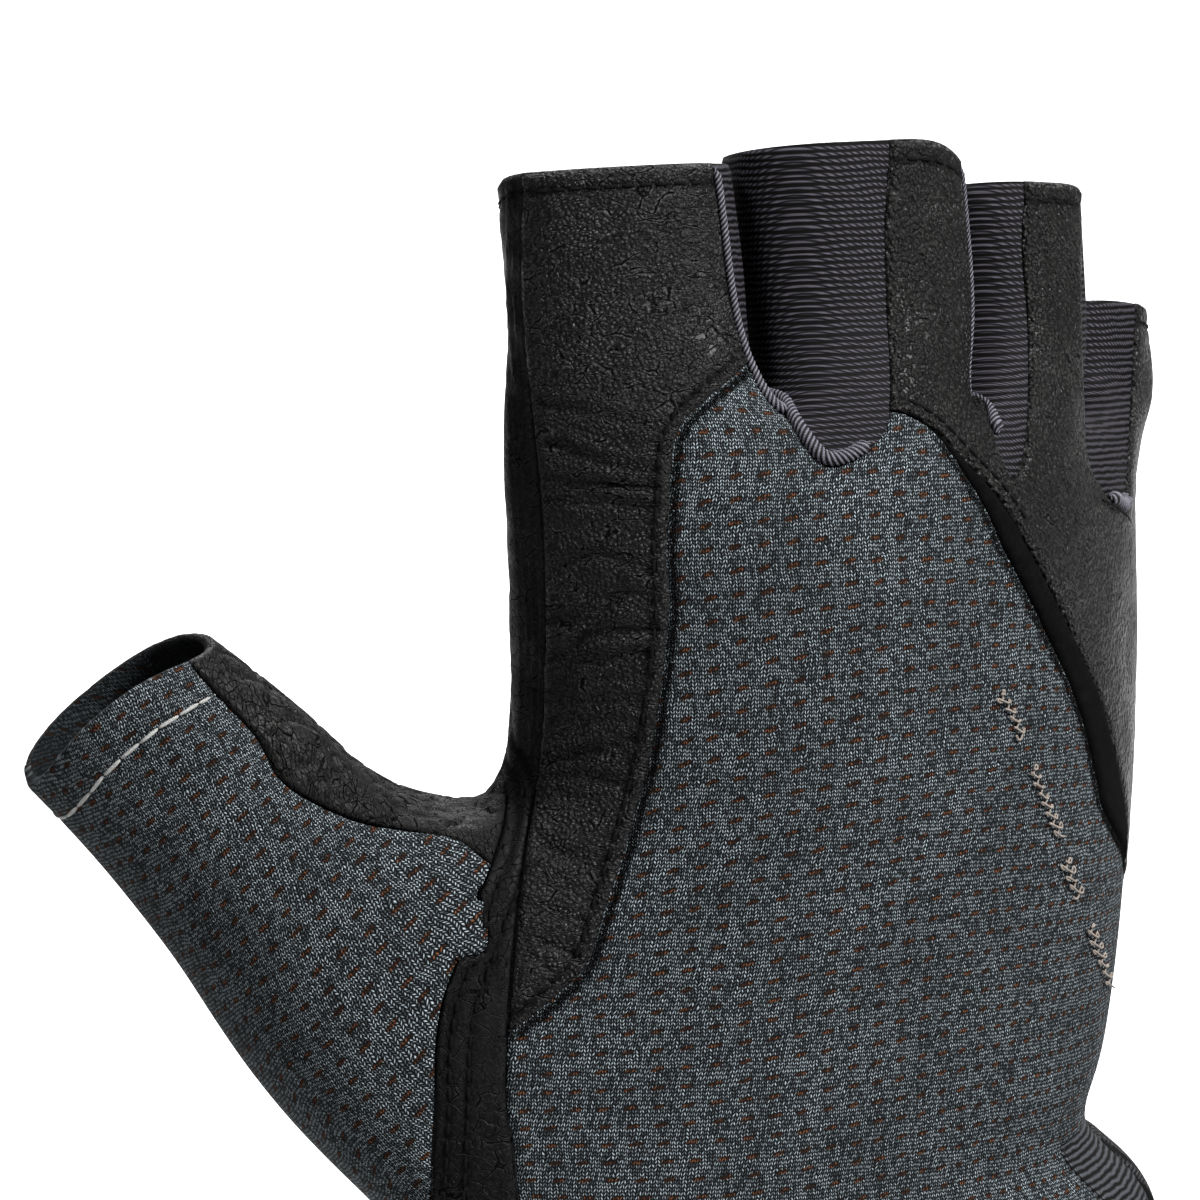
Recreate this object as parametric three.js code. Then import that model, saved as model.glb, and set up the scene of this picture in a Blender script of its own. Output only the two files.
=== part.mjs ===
import * as THREE from "three";

// Right-hand fingerless training glove, worn shape. Millimetres, +Z towards the fingertips,
// -Y the back of the hand, -X the thumb side. The origin is the centre of the wrist opening.

// Wall and seam sizes
const seamHalfGap = 0.36;
const knitHalfGap = 0.55;
const leatherWall = 1.6;
const meshWall = 1.8;
const knitWall = 1.3;
const trimWall = 2.2;
const bandWall = 2.4;
const trimStandOff = 0.5;
const trimWidth = 2.8;

// Skin grid: columns per finger on each face, columns on each edge of the hand, rows per stall
const fingerCols = 4;
const edgeCols = 4;
const stallRows = 5;
const thumbRows = 10;
const rowHeights = [
  0, 6, 12, 17, 22.5, 28.5, 35, 42, 49, 56, 64, 72.5, 79, 86, 93, 100, 107, 113.5, 120,
];
const levelBelow = 60;
const freeAbove = 96;

// Hand body: height, centre x and y, half width, half depth, arch per mm, arch centre x
const handSections = [
  [0, 1.0, 0.0, 45.0, 31.0, 0.0, 0],
  [8, 2.5, 0.0, 47.5, 33.0, 0.0, 0],
  [16.5, 3.0, 0.0, 48.0, 33.0, 0.0, 0],
  [22, 2.0, 0.0, 46.4, 31.3, 0.0, 4],
  [28, 0.6, 0.0, 41.8, 27.6, 0.0005, 8],
  [36, 3.0, 0.0, 43.1, 26.0, 0.0015, 10],
  [55, 9.8, 0.0, 45.1, 22.5, 0.0045, 12],
  [80, 17.6, -1.0, 45.4, 18.0, 0.007, 14],
  [100, 19.8, -0.5, 46.5, 15.5, 0.0075, 15],
  [112, 20.9, 1.0, 47.8, 14.0, 0.0075, 15],
  [122, 21.9, 3.5, 47.8, 13.0, 0.0075, 15],
];
const handPower = 2.5;
const cornerAt = 0.92;
// Height of the finger crotches along the hand: x, height
const crotchLine = [
  [-30, 120],
  [0, 119],
  [28, 117],
  [46, 112],
  [66, 104],
];
const fingerShares = [0, 0.27, 0.54, 0.785, 1];
const crotchDip = 1.5;

// Finger stalls: base point, axis, turn of the section in degrees, length to the hem,
// rows of distance along the axis, offset x and y, half width, half depth,
// and how far the hem drops, as column round the stall and mm
const fingers = [
  {
    base: [-13.8, 5.5, 92],
    axis: [0.115, 0.27, 1],
    turn: -30,
    length: 57.4,
    rows: [[0, 0, 0, 13, 12], [25, 0.8, 0, 14.7, 11.5], [45, 0.5, 0, 14.6, 11], [58, 0, 0, 14.2, 10.5]],
    hemDrop: [[10, 0], [12, 1.2], [13, 1.8], [14, 0.6], [15, 0]],
  },
  {
    base: [16, -3, 92],
    axis: [0.13, 0.32, 1],
    turn: -8,
    length: 57.8,
    rows: [[0, -0.5, 0, 14.5, 12], [25, -1, 0, 15.3, 11.5], [70, -1, 0, 15.3, 11.5]],
    hemDrop: [[3, 0], [4, 1.2], [5, 3.4], [6, 3.8], [8, 1.5], [10, 0]],
  },
  {
    base: [38.4, -0.6, 86],
    axis: [0.17, 0.34, 1],
    turn: 12,
    length: 55.2,
    rows: [[0, -0.3, 0, 11.9, 11.2], [25, -1.1, 0, 11.3, 10.8], [70, -1.1, 0, 11.1, 10.8]],
    hemDrop: [[3, 0], [4, 0.7], [5, 2.2], [6, 2.4], [8, 1], [10, 0]],
  },
  {
    base: [56.2, 7.7, 76],
    axis: [0.15, 0.36, 1],
    turn: 32,
    length: 46.5,
    rows: [[0, 0, 0, 10.5, 10.5], [20, 0.3, 0, 10.5, 10], [45, -0.5, 0, 10.4, 9.6], [70, -0.5, 0, 10.4, 9.6]],
    hemDrop: [[3, 0], [4, 0.4], [5, 1], [8, 0]],
  },
];
const stallPower = 2.3;
const stallCorner = (50 * Math.PI) / 180;
// Share of the hand's own run that the stalls' first row keeps
const stallRootShare = 0.4;

// Thumb stall: base and hem centres, sections as for the fingers, its hole in the hand's grid
const thumbBase = new THREE.Vector3(-30.2, 6.5, 21.3);
const thumbEnd = new THREE.Vector3(-75.3, 28.1, 88.4);
const thumbSections = [
  [0, 0, 0, 14, 13],
  [25, 1.0, 0, 16.3, 14],
  [50, 3.9, 0, 16.1, 12.5],
  [61, 4.0, 0, 15.7, 11.5],
  [72.7, 3.0, 0, 14.8, 10.5],
  [84, 1.3, 0, 14, 9.5],
];
const thumbPower = 2.2;
const thumbHoleRows = [4, 11];
const thumbHolePalm = 4;
const thumbCorner = (42 * Math.PI) / 180;
const thumbRimTilt = 1.6;
const thumbRimRise = 5;
// Shares of the chart's right and up axes in the thumb's broad side
const thumbSideShares = [0.794, 0.607];
// The thumb's root runs on from the hand over this share of its length, with this fall-off
const thumbRoot = { share: 0.45, power: 1.5, growth: 0.6 };

// How freely the cloth settles: at the finger roots, on the stalls' and thumb's first rows,
// and on the rings of vertices round the thumb's hole
const settle = {
  hem: 0.35,
  fingerRoots: 0.6,
  stallRows: [0, 0.5, 0.15],
  thumbRows: [1, 1, 1, 1, 1, 0.4],
  holeRings: [1, 0.7, 0.3],
  fromRow: 3,
  passes: 60,
  step: 0.25,
};

// Seam chart: a plane seen from this azimuth and elevation, where the seams on the back are
// laid out as points u (right) and v (up) in mm, as seen from the viewing distance
const chartAzimuth = (35 * Math.PI) / 180;
const chartElevation = (15 * Math.PI) / 180;
const chartDistance = 1500;
const chartCentre = [-19.51, 93.87];

// Seams and panel outlines in the chart
const thumbJoint = [
  [-13.6, -10], [-12.4, -20.1], [-11.7, -24.4], [-12.6, -30.5], [-14.1, -34.9], [-17.2, -43.9],
  [-19.0, -48.8], [-19.9, -54.4], [-20.1, -61.0], [-20.7, -73.2], [-21, -120],
];
const thumbMeshEdge = [
  [-54, 2], [-49.9, -7.4], [-46.3, -11.7], [-41.7, -16.7], [-38.9, -21.8],
  [-34.3, -24.9], [-28.4, -27.2], [-24.5, -27.8], [-17.2, -29.0], [-14.4, -31.1], [-8, -36],
];
const indexStripSeam = [
  [-10.0, 62], [-9.6, 51], [-9.5, 36.6], [-8.5, 24.4], [-7.3, 12.2], [-6.7, 0],
  [-7.3, -18.3], [-9.1, -30.5], [-10.4, -42.7], [-11.2, -53.7], [-11.4, -61], [-10.6, -67],
  [-10.1, -73], [-9.6, -110],
];
const indexTailEdge = [
  [24, 62], [22, 40], [19.6, 30.6], [13.2, 24.4], [10.1, 21.3], [8.9, 17.1], [8.7, 12.2],
  [8.3, 4.9], [8.7, 0], [7.4, -12.2], [6.2, -19.5], [4.9, -24.4], [3.0, -31.1], [0.6, -38.4],
  [-1.5, -44.5], [-5.7, -48.8], [-11.0, -53.0], [-20, -60],
];
const knuckleEdge = [
  [12, 40], [22, 30], [28, 22], [34.8, 23.2], [37.2, 22.9], [40.2, 21.3], [43.9, 17.7], [48.8, 12.2],
  [53.7, 3.7], [57.9, -4.9], [61.0, -12.2], [63.4, -22.0], [64.6, -29.3], [66.5, -36], [72, -48],
];
const sideWalls = [
  {
    name: "fourchette_index_middle",
    stall: 0,
    middle: 26,
    outline: [
      [16.5, 62], [16.5, 53.0], [17.7, 42.7], [18.9, 32.9], [20.7, 28.0], [23.2, 22.0], [28.0, 16.5],
      [31.7, 17.7], [34.8, 20.7], [35.4, 24.4], [35.0, 36.6], [34.8, 45.1], [35.4, 56.1], [35.4, 62],
    ],
  },
  {
    name: "fourchette_middle_ring",
    stall: 1,
    middle: 49,
    outline: [
      [45.1, 62], [45.1, 50.9], [46.1, 31.7], [47.6, 22.0], [50.6, 14.9], [51.8, 18.3], [52.2, 32.9],
      [51.5, 42.7], [51.8, 50.9], [51.8, 62],
    ],
  },
  {
    name: "fourchette_ring_little",
    stall: 2,
    middle: 62,
    outline: [
      [58.8, 50], [58.8, 36.0], [59.1, 24.4], [60.0, 15.9], [64.0, 10.7], [64.3, 12.2], [65.0, 26.8],
      [65.5, 35.1], [65.5, 50],
    ],
  },
];
const sideWallStart = 0.4;
const palmSeamAt = 0.6;
const radialSeamAt = 0.6;
// Seam on the little-finger edge: height, columns past the edge of the back
const ulnarSeam = [
  [20, -0.4],
  [45, 1.6],
];
const thumbMeshWrap = 200;
// Thumb seam on the palm: x, z
const thumbPalmSeam = [
  [-70, 81], [-24, 79], [-14, 75], [-9, 66], [-8, 50], [-13, 38], [-22, 28], [-30, 20], [-34, 8],
  [-34, -10],
];
const cuffTop = 26;
const gussetFrom = -2.5;
const knuckleSideHeight = 54;
const trimStart = 41;
const trimEnd = -33;
const trimTaper = 0.35;
const cutSnap = 0.05;
// Field values far on either side of a seam, widths in which the seams on the back hand over
// to those on the palm side, and limits on a field's slope
const wellInside = 20;
const wellOutside = -30;
const outside = -10;
const facingBlend = 0.4;
const thumbWrapPerDegree = 0.25;
const thumbWrapOnHand = { facing: -0.2, width: 15 };
const palmFaceWidth = 20;
const crotchStart = -0.6;
const gussetAboveCuff = 3;
const slopeLimits = [0.5, 4];
const colWidth = 4.8;
const normalPasses = 2;

const handCols = 8 * fingerCols + 2 * edgeCols;
const stallCols = 2 * fingerCols + 2 * edgeCols;
const cornerY = Math.pow(1 - Math.pow(cornerAt, handPower), 1 / handPower);

// Cubic through the rows of a table at t, which stays at the end rows outside them
function sectionAt(rows, t) {
  const last = rows.length - 1;
  const at = Math.min(Math.max(t, rows[0][0]), rows[last][0]);
  let i = 0;
  while (i < last - 1 && at >= rows[i + 1][0]) i += 1;
  const slope = (k, c) => {
    if (k === 0) return (rows[1][c] - rows[0][c]) / (rows[1][0] - rows[0][0]);
    if (k === last) return (rows[last][c] - rows[last - 1][c]) / (rows[last][0] - rows[last - 1][0]);
    const before = rows[k][0] - rows[k - 1][0];
    const after = rows[k + 1][0] - rows[k][0];
    const slopeBefore = (rows[k][c] - rows[k - 1][c]) / before;
    const slopeAfter = (rows[k + 1][c] - rows[k][c]) / after;
    return (slopeBefore * after + slopeAfter * before) / (before + after);
  };
  const h = rows[i + 1][0] - rows[i][0];
  const s = (at - rows[i][0]) / h;
  const s2 = s * s;
  const s3 = s2 * s;
  return rows[i].slice(1).map((value, n) => {
    const c = n + 1;
    return (
      (2 * s3 - 3 * s2 + 1) * value +
      (s3 - 2 * s2 + s) * h * slope(i, c) +
      (-2 * s3 + 3 * s2) * rows[i + 1][c] +
      (s3 - s2) * h * slope(i + 1, c)
    );
  });
}

function linearAt(rows, x) {
  const last = rows.length - 1;
  if (x <= rows[0][0]) return rows[0][1];
  if (x >= rows[last][0]) return rows[last][1];
  let i = 0;
  while (x > rows[i + 1][0]) i += 1;
  const s = (x - rows[i][0]) / (rows[i + 1][0] - rows[i][0]);
  return rows[i][1] + s * (rows[i + 1][1] - rows[i][1]);
}

function superEllipse(angle, a, b, power) {
  const c = Math.cos(angle);
  const s = Math.sin(angle);
  return [a * Math.sign(c) * Math.abs(c) ** (2 / power), b * Math.sign(s) * Math.abs(s) ** (2 / power)];
}

// Unit outline of the hand: back from the thumb side, little-finger edge, palm, thumb edge
function handUnit(col) {
  const k = ((col % handCols) + handCols) % handCols;
  const across = (i) => {
    const f = i / fingerCols;
    const j = Math.min(Math.floor(f), 3);
    return -cornerAt + 2 * cornerAt * (fingerShares[j] + (fingerShares[j + 1] - fingerShares[j]) * (f - j));
  };
  const other = (v) => Math.pow(1 - Math.pow(Math.abs(v), handPower), 1 / handPower);
  if (k <= 4 * fingerCols) return [across(k), -other(across(k))];
  if (k < 4 * fingerCols + edgeCols) {
    const y = -cornerY + (2 * cornerY * (k - 4 * fingerCols)) / edgeCols;
    return [other(y), y];
  }
  if (k <= 8 * fingerCols + edgeCols) {
    const x = across(8 * fingerCols + edgeCols - k);
    return [x, other(x)];
  }
  const y = cornerY - (2 * cornerY * (k - 8 * fingerCols - edgeCols)) / edgeCols;
  return [-other(y), y];
}

function handPoint(col, height) {
  const [ux, uy] = handUnit(col);
  let z = height;
  let x = 0;
  let y = 0;
  for (let pass = 0; pass < 3; pass += 1) {
    const [xc, yc, a, b, arch, archX] = sectionAt(handSections, z);
    x = xc + a * ux;
    y = yc + b * uy + arch * (x - archX) ** 2;
    const top = linearAt(crotchLine, x);
    z = height < levelBelow ? height : levelBelow + ((height - levelBelow) * (top - levelBelow)) / levelBelow;
  }
  return new THREE.Vector3(x, y, z);
}

function stallFrame(finger) {
  const axis = new THREE.Vector3(...finger.axis).normalize();
  const turn = (finger.turn * Math.PI) / 180;
  const side = new THREE.Vector3(Math.cos(turn), Math.sin(turn), 0);
  side.addScaledVector(axis, -side.dot(axis)).normalize();
  return { base: new THREE.Vector3(...finger.base), axis, side, depth: axis.clone().cross(side) };
}

function stallPoint(finger, frame, col, t) {
  const [ox, oy, a, b] = sectionAt(finger.rows, t);
  const m = ((col % stallCols) + stallCols) % stallCols;
  const faceStep = (Math.PI - 2 * stallCorner) / fingerCols;
  const edgeStep = (2 * stallCorner) / edgeCols;
  const palmFrom = fingerCols + edgeCols;
  const palmTo = 2 * fingerCols + edgeCols;
  let angle;
  if (m <= fingerCols) angle = -Math.PI + stallCorner + faceStep * m;
  else if (m < palmFrom) angle = -stallCorner + edgeStep * (m - fingerCols);
  else if (m <= palmTo) angle = stallCorner + faceStep * (m - palmFrom);
  else angle = Math.PI - stallCorner + edgeStep * (m - palmTo);
  const [x, y] = superEllipse(angle, a, b, stallPower);
  return frame.base
    .clone()
    .addScaledVector(frame.axis, t)
    .addScaledVector(frame.side, x + ox)
    .addScaledVector(frame.depth, y + oy);
}

// The chart's axes: right, up and towards the viewer
const chartRight = new THREE.Vector3(Math.cos(chartAzimuth), -Math.sin(chartAzimuth), 0);
const chartToward = new THREE.Vector3(
  -Math.sin(chartAzimuth) * Math.cos(chartElevation),
  -Math.cos(chartAzimuth) * Math.cos(chartElevation),
  Math.sin(chartElevation),
);
const chartUp = chartToward.clone().cross(chartRight);

function chartPoint(p) {
  const q = p.clone().addScaledVector(chartRight, -chartCentre[0]).addScaledVector(chartUp, -chartCentre[1]);
  const scale = chartDistance / (chartDistance - q.dot(chartToward));
  return [q.dot(chartRight) * scale, q.dot(chartUp) * scale];
}

const thumbAxis = thumbEnd.clone().sub(thumbBase).normalize();
const thumbLength = thumbEnd.distanceTo(thumbBase);
const thumbSide = chartRight
  .clone()
  .multiplyScalar(thumbSideShares[0])
  .addScaledVector(chartUp, thumbSideShares[1]);
thumbSide.addScaledVector(thumbAxis, -thumbSide.dot(thumbAxis)).normalize();
const thumbDepth = thumbAxis.clone().cross(thumbSide);
const thumbNear = Math.sign(thumbDepth.dot(chartToward));

function thumbPoint(angle, t) {
  const [ox, oy, a, b] = sectionAt(thumbSections, t);
  const [x, y] = superEllipse(angle, a, b, thumbPower);
  return thumbBase
    .clone()
    .addScaledVector(thumbAxis, t)
    .addScaledVector(thumbSide, x + ox)
    .addScaledVector(thumbDepth, y + oy);
}

// The glove's skin as one grid of four-sided cells. Each vertex keeps its place, how freely
// it may settle, and the zone, column and row that it belongs to.
function buildSkin() {
  const vertices = [];
  const cells = [];
  const add = (point, freedom, zone, col, row) => {
    vertices.push({ point, freedom, zone, col, row });
    return vertices.length - 1;
  };
  const rowCount = rowHeights.length;
  const [holeLow, holeHigh] = thumbHoleRows;
  const holeFrom = handCols - edgeCols - thumbHolePalm;
  const holeTo = handCols;
  const grid = rowHeights.map((height, i) => {
    const row = [];
    for (let k = 0; k < handCols; k += 1) {
      const hidden = i > holeLow && i < holeHigh && k > holeFrom && k < holeTo;
      const freedom = i === rowCount - 1 ? settle.hem : height > freeAbove ? settle.fingerRoots : 0;
      row.push(hidden ? -1 : add(handPoint(k, height), freedom, "hand", k, i));
    }
    return row;
  });
  for (let i = 0; i < rowCount - 1; i += 1) {
    for (let k = 0; k < handCols; k += 1) {
      if (i >= holeLow && i < holeHigh && k >= holeFrom && k < holeTo) continue;
      const next = (k + 1) % handCols;
      cells.push([grid[i][k], grid[i][next], grid[i + 1][next], grid[i + 1][k]]);
    }
  }
  const top = grid[rowCount - 1];
  const palmCol = (j) => 8 * fingerCols + edgeCols - j * fingerCols;
  const crotches = [1, 2, 3].map((j) => {
    const from = top[j * fingerCols];
    const to = top[palmCol(j)];
    const line = [from];
    for (let s = 1; s < edgeCols; s += 1) {
      const p = vertices[from].point.clone().lerp(vertices[to].point, s / edgeCols);
      p.z -= crotchDip * Math.sin((Math.PI * s) / edgeCols);
      line.push(add(p, settle.hem, "crotch", s, j));
    }
    line.push(to);
    return line;
  });
  fingers.forEach((finger, j) => {
    const base = [];
    for (let m = 0; m <= fingerCols; m += 1) base.push(top[j * fingerCols + m]);
    for (let s = 1; s < edgeCols; s += 1) base.push(j < 3 ? crotches[j][s] : top[4 * fingerCols + s]);
    for (let m = 0; m <= fingerCols; m += 1) base.push(top[palmCol(j + 1) + m]);
    for (let s = 1; s < edgeCols; s += 1) {
      base.push(j > 0 ? crotches[j - 1][edgeCols - s] : top[8 * fingerCols + edgeCols + s]);
    }
    const frame = stallFrame(finger);
    const ends = base.map((_, m) => finger.length - linearAt(finger.hemDrop, m));
    const starts = base.map((v) => vertices[v].point.clone().sub(frame.base).dot(frame.axis));
    let below = base;
    for (let i = 1; i <= stallRows; i += 1) {
      const row = base.map((v, m) => {
        const t = starts[m] + ((ends[m] - starts[m]) * i) / stallRows;
        const p = stallPoint(finger, frame, m, t);
        const grown = vertices[v].point.clone().addScaledVector(frame.axis, t - starts[m]);
        if (i === 1) p.lerp(grown, stallRootShare);
        return add(p, settle.stallRows[i] ?? 0, "stall" + j, m, i);
      });
      for (let m = 0; m < stallCols; m += 1) {
        const next = (m + 1) % stallCols;
        cells.push([below[m], below[next], row[next], row[m]]);
      }
      below = row;
    }
  });
  // The thumb's rows start on the rim of its hole: top, back, bottom, palm
  const ring = [];
  const angles = [];
  const across = holeTo - holeFrom;
  const down = holeHigh - holeLow;
  const backSpan = Math.PI - 2 * thumbCorner;
  for (let i = 0; i < across; i += 1) {
    ring.push(grid[holeHigh][holeFrom + i]);
    angles.push(-thumbCorner + (2 * thumbCorner * i) / across);
  }
  for (let i = 0; i < down; i += 1) {
    ring.push(grid[holeHigh - i][0]);
    angles.push(thumbCorner + (backSpan * i) / down);
  }
  for (let i = 0; i < across; i += 1) {
    ring.push(grid[holeLow][(holeTo - i) % handCols]);
    angles.push(Math.PI - thumbCorner + (2 * thumbCorner * i) / across);
  }
  for (let i = 0; i < down; i += 1) {
    ring.push(grid[holeLow + i][holeFrom]);
    angles.push(Math.PI + thumbCorner + (backSpan * i) / down);
  }
  const starts = ring.map((v) => vertices[v].point.clone().sub(thumbBase).dot(thumbAxis));
  let below = ring;
  for (let i = 1; i <= thumbRows; i += 1) {
    const f = i / thumbRows;
    const blend = Math.max(0, 1 - f / thumbRoot.share) ** thumbRoot.power;
    const row = ring.map((v, m) => {
      const lean = Math.sin(angles[m]);
      const end = thumbLength - thumbRimTilt * lean + thumbRimRise * Math.max(0, lean) ** 2;
      const t = starts[m] + (end - starts[m]) * f;
      const angle = angles[m] * thumbNear;
      const onTube = thumbPoint(angle, Math.max(t, 0));
      const step = onTube.clone().sub(thumbPoint(angle, Math.max(starts[m], 0)));
      const grown = vertices[v].point.clone().addScaledVector(step, thumbRoot.growth);
      return add(onTube.lerp(grown, blend), settle.thumbRows[i] ?? 0, "thumb", angles[m], i);
    });
    for (let m = 0; m < ring.length; m += 1) {
      const next = (m + 1) % ring.length;
      cells.push([below[m], row[m], row[next], below[next]]);
    }
    below = row;
  }
  settleSkin(vertices, cells, ring);
  return { vertices, cells };
}

// Lets the free vertices take an even curvature, so that the stalls run smoothly into the hand
function settleSkin(vertices, cells, ring) {
  const neighbours = vertices.map(() => new Set());
  for (const cell of cells) {
    for (let a = 0; a < 4; a += 1) {
      neighbours[cell[a]].add(cell[(a + 1) % 4]);
      neighbours[cell[(a + 1) % 4]].add(cell[a]);
    }
  }
  const level = new Map(ring.map((v) => [v, 0]));
  let front = [...ring];
  for (const depth of [1, 2]) {
    const next = [];
    for (const v of front) {
      for (const u of neighbours[v]) {
        if (level.has(u) || vertices[u].zone !== "hand") continue;
        level.set(u, depth);
        next.push(u);
      }
    }
    front = next;
  }
  for (const [v, depth] of level) {
    const least = vertices[v].row > settle.fromRow ? settle.holeRings[depth] : 0;
    vertices[v].freedom = Math.max(vertices[v].freedom, least);
  }
  const around = neighbours.map((set) => [...set]);
  const pull = (values) =>
    values.map((value, i) => {
      const sum = new THREE.Vector3();
      for (const u of around[i]) sum.add(values[u]);
      return sum.divideScalar(around[i].length).sub(value);
    });
  for (let pass = 0; pass < settle.passes; pass += 1) {
    const first = pull(vertices.map((v) => v.point));
    const second = pull(first);
    vertices.forEach((v, i) => {
      v.point.addScaledVector(second[i], -settle.step * v.freedom);
    });
  }
}

// Signed distance in the chart from an open line: positive to the right of its direction
function besideLine(line, [u, v]) {
  let best = Infinity;
  let sign = 1;
  for (let i = 0; i < line.length - 1; i += 1) {
    const [au, av] = line[i];
    const [bu, bv] = line[i + 1];
    const du = bu - au;
    const dv = bv - av;
    const s = Math.min(1, Math.max(0, ((u - au) * du + (v - av) * dv) / (du * du + dv * dv)));
    const distance = Math.hypot(u - au - s * du, v - av - s * dv);
    const turn = (u - au) * dv - (v - av) * du;
    if (distance < best - 1e-9 || (distance < best + 1e-9 && Math.abs(turn) > 1e-9 && s > 0)) {
      best = distance;
      sign = turn >= 0 ? 1 : -1;
    }
  }
  return best * sign;
}

// Signed distance from a closed outline: positive inside
function insideOutline(outline, [u, v]) {
  let inside = false;
  let best = Infinity;
  for (let i = 0, j = outline.length - 1; i < outline.length; j = i, i += 1) {
    const [au, av] = outline[j];
    const [bu, bv] = outline[i];
    if (av > v !== bv > v && u < ((bu - au) * (v - av)) / (bv - av) + au) inside = !inside;
    const du = bu - au;
    const dv = bv - av;
    const s = Math.min(1, Math.max(0, ((u - au) * du + (v - av) * dv) / (du * du + dv * dv)));
    best = Math.min(best, Math.hypot(u - au - s * du, v - av - s * dv));
  }
  return inside ? best : -best;
}

const skin = buildSkin();
const triangles = [];
for (const [a, b, c, d] of skin.cells) {
  const p = [a, b, c, d].map((v) => skin.vertices[v].point);
  if (p[0].distanceTo(p[2]) <= p[1].distanceTo(p[3])) triangles.push([a, b, c], [a, c, d]);
  else triangles.push([a, b, d], [b, c, d]);
}
for (const v of skin.vertices) v.normal = new THREE.Vector3();
for (const [a, b, c] of triangles) {
  const [pa, pb, pc] = [a, b, c].map((v) => skin.vertices[v].point);
  const normal = pb.clone().sub(pa).cross(pc.clone().sub(pa));
  for (const v of [a, b, c]) skin.vertices[v].normal.add(normal);
}
for (let pass = 0; pass < normalPasses; pass += 1) {
  const sums = skin.vertices.map((v) => v.normal.clone().normalize());
  const mixed = sums.map((normal) => normal.clone().multiplyScalar(2));
  for (const [a, b, c] of triangles) {
    mixed[a].add(sums[b]).add(sums[c]);
    mixed[b].add(sums[c]).add(sums[a]);
    mixed[c].add(sums[a]).add(sums[b]);
  }
  skin.vertices.forEach((v, i) => v.normal.copy(mixed[i]));
}
for (const v of skin.vertices) {
  v.normal.normalize();
  v.chart = chartPoint(v.point);
  v.facing = v.normal.dot(chartToward);
}

const stallOf = (v) => (v.zone.startsWith("stall") ? Number(v.zone.slice(5)) : -1);
const mix = (a, b, w) => a * (1 - w) + b * w;
const facingShare = (v) => Math.min(1, Math.max(0, 0.5 + v.facing / facingBlend));

function knuckle(v) {
  return mix(v.point.z - knuckleSideHeight, -besideLine(knuckleEdge, v.chart), facingShare(v));
}

// Fields over the skin: each is positive on one side of a seam
const fields = {
  // thumb pieces against the hand's
  thumb(v) {
    if (stallOf(v) >= 0 || v.zone === "crotch") return wellOutside;
    if (v.zone === "thumb" && v.row >= settle.thumbRows.length) return wellInside;
    const back = besideLine(thumbJoint, v.chart);
    const palm = besideLine(thumbPalmSeam, [v.point.x, v.point.z]);
    return mix(palm, back, facingShare(v));
  },
  thumbMesh(v) {
    const degrees = ((v.col * 180) / Math.PI + 360) % 360;
    const onThumb = (thumbMeshWrap - degrees) * thumbWrapPerDegree;
    const onHand = (v.facing - thumbWrapOnHand.facing) * thumbWrapOnHand.width;
    return Math.min(besideLine(thumbMeshEdge, v.chart), v.zone === "thumb" ? onThumb : onHand);
  },
  // palm leather against the pieces on the back and between the fingers
  palm(v) {
    const j = stallOf(v);
    if (v.zone === "crotch") return (v.col - (edgeCols - palmSeamAt)) * colWidth;
    if (j >= 0) {
      const start = fingerCols + (j === 3 ? ulnarSeam[1][1] : edgeCols - palmSeamAt);
      const end = 2 * fingerCols + edgeCols + (j === 0 ? radialSeamAt : palmSeamAt);
      return Math.min(v.col - start, end - v.col) * colWidth;
    }
    if (v.zone === "thumb") return -palmFaceWidth * v.facing;
    const from = 4 * fingerCols + linearAt(ulnarSeam, v.point.z);
    const to = 8 * fingerCols + edgeCols + radialSeamAt;
    const inside = Math.min(v.col - from, to - v.col) * colWidth;
    const corner = v.row === rowHeights.length - 1 && v.col > from;
    return corner ? Math.min(inside, palmSeamAt * colWidth) : inside;
  },
  knuckle,
  trim(v) {
    const room = Math.min(v.chart[0] - trimStart, v.chart[1] - trimEnd);
    return Math.min(trimWidth, room * trimTaper) + knuckle(v);
  },
  indexBack: (v) => besideLine(indexTailEdge, v.chart),
  strip: (v) => besideLine(indexStripSeam, v.chart),
  cuff: (v) => cuffTop - v.point.z,
  gusset(v) {
    const across = (v.col - 4 * fingerCols - gussetFrom) * colWidth;
    return Math.min(across, cuffTop + gussetAboveCuff - v.point.z);
  },
};
for (const wall of sideWalls) {
  fields[wall.name] = (v) => {
    const j = stallOf(v);
    const inChart = insideOutline(wall.outline, v.chart);
    if (v.zone === "crotch") return v.row === wall.stall + 1 ? (v.col - crotchStart) * colWidth : outside;
    if (j === wall.stall && v.col <= fingerCols + edgeCols) {
      return Math.max(inChart, (v.col - fingerCols - sideWallStart) * colWidth);
    }
    if (j === wall.stall + 1) return Math.max(inChart, wall.middle - v.chart[0]);
    return j >= 0 || v.facing < 0 ? outside : inChart;
  };
}

// Divides a field by its slope along the skin, so that its values are distances in mm
function toDistances(values) {
  const slopes = skin.vertices.map(() => [0, 0]);
  for (const [a, b, c] of triangles) {
    const [pa, pb, pc] = [a, b, c].map((v) => skin.vertices[v].point);
    const e1 = pb.clone().sub(pa);
    const e2 = pc.clone().sub(pa);
    const normal = e1.clone().cross(e2);
    const double = normal.length();
    const gradient = e2.clone().cross(normal).multiplyScalar(values[b] - values[a]);
    gradient.addScaledVector(normal.clone().cross(e1), values[c] - values[a]).divideScalar(double * double);
    for (const v of [a, b, c]) {
      slopes[v][0] += gradient.length() * double;
      slopes[v][1] += double;
    }
  }
  const [least, most] = slopeLimits;
  return values.map((value, i) => value / Math.min(most, Math.max(least, slopes[i][0] / slopes[i][1])));
}

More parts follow.
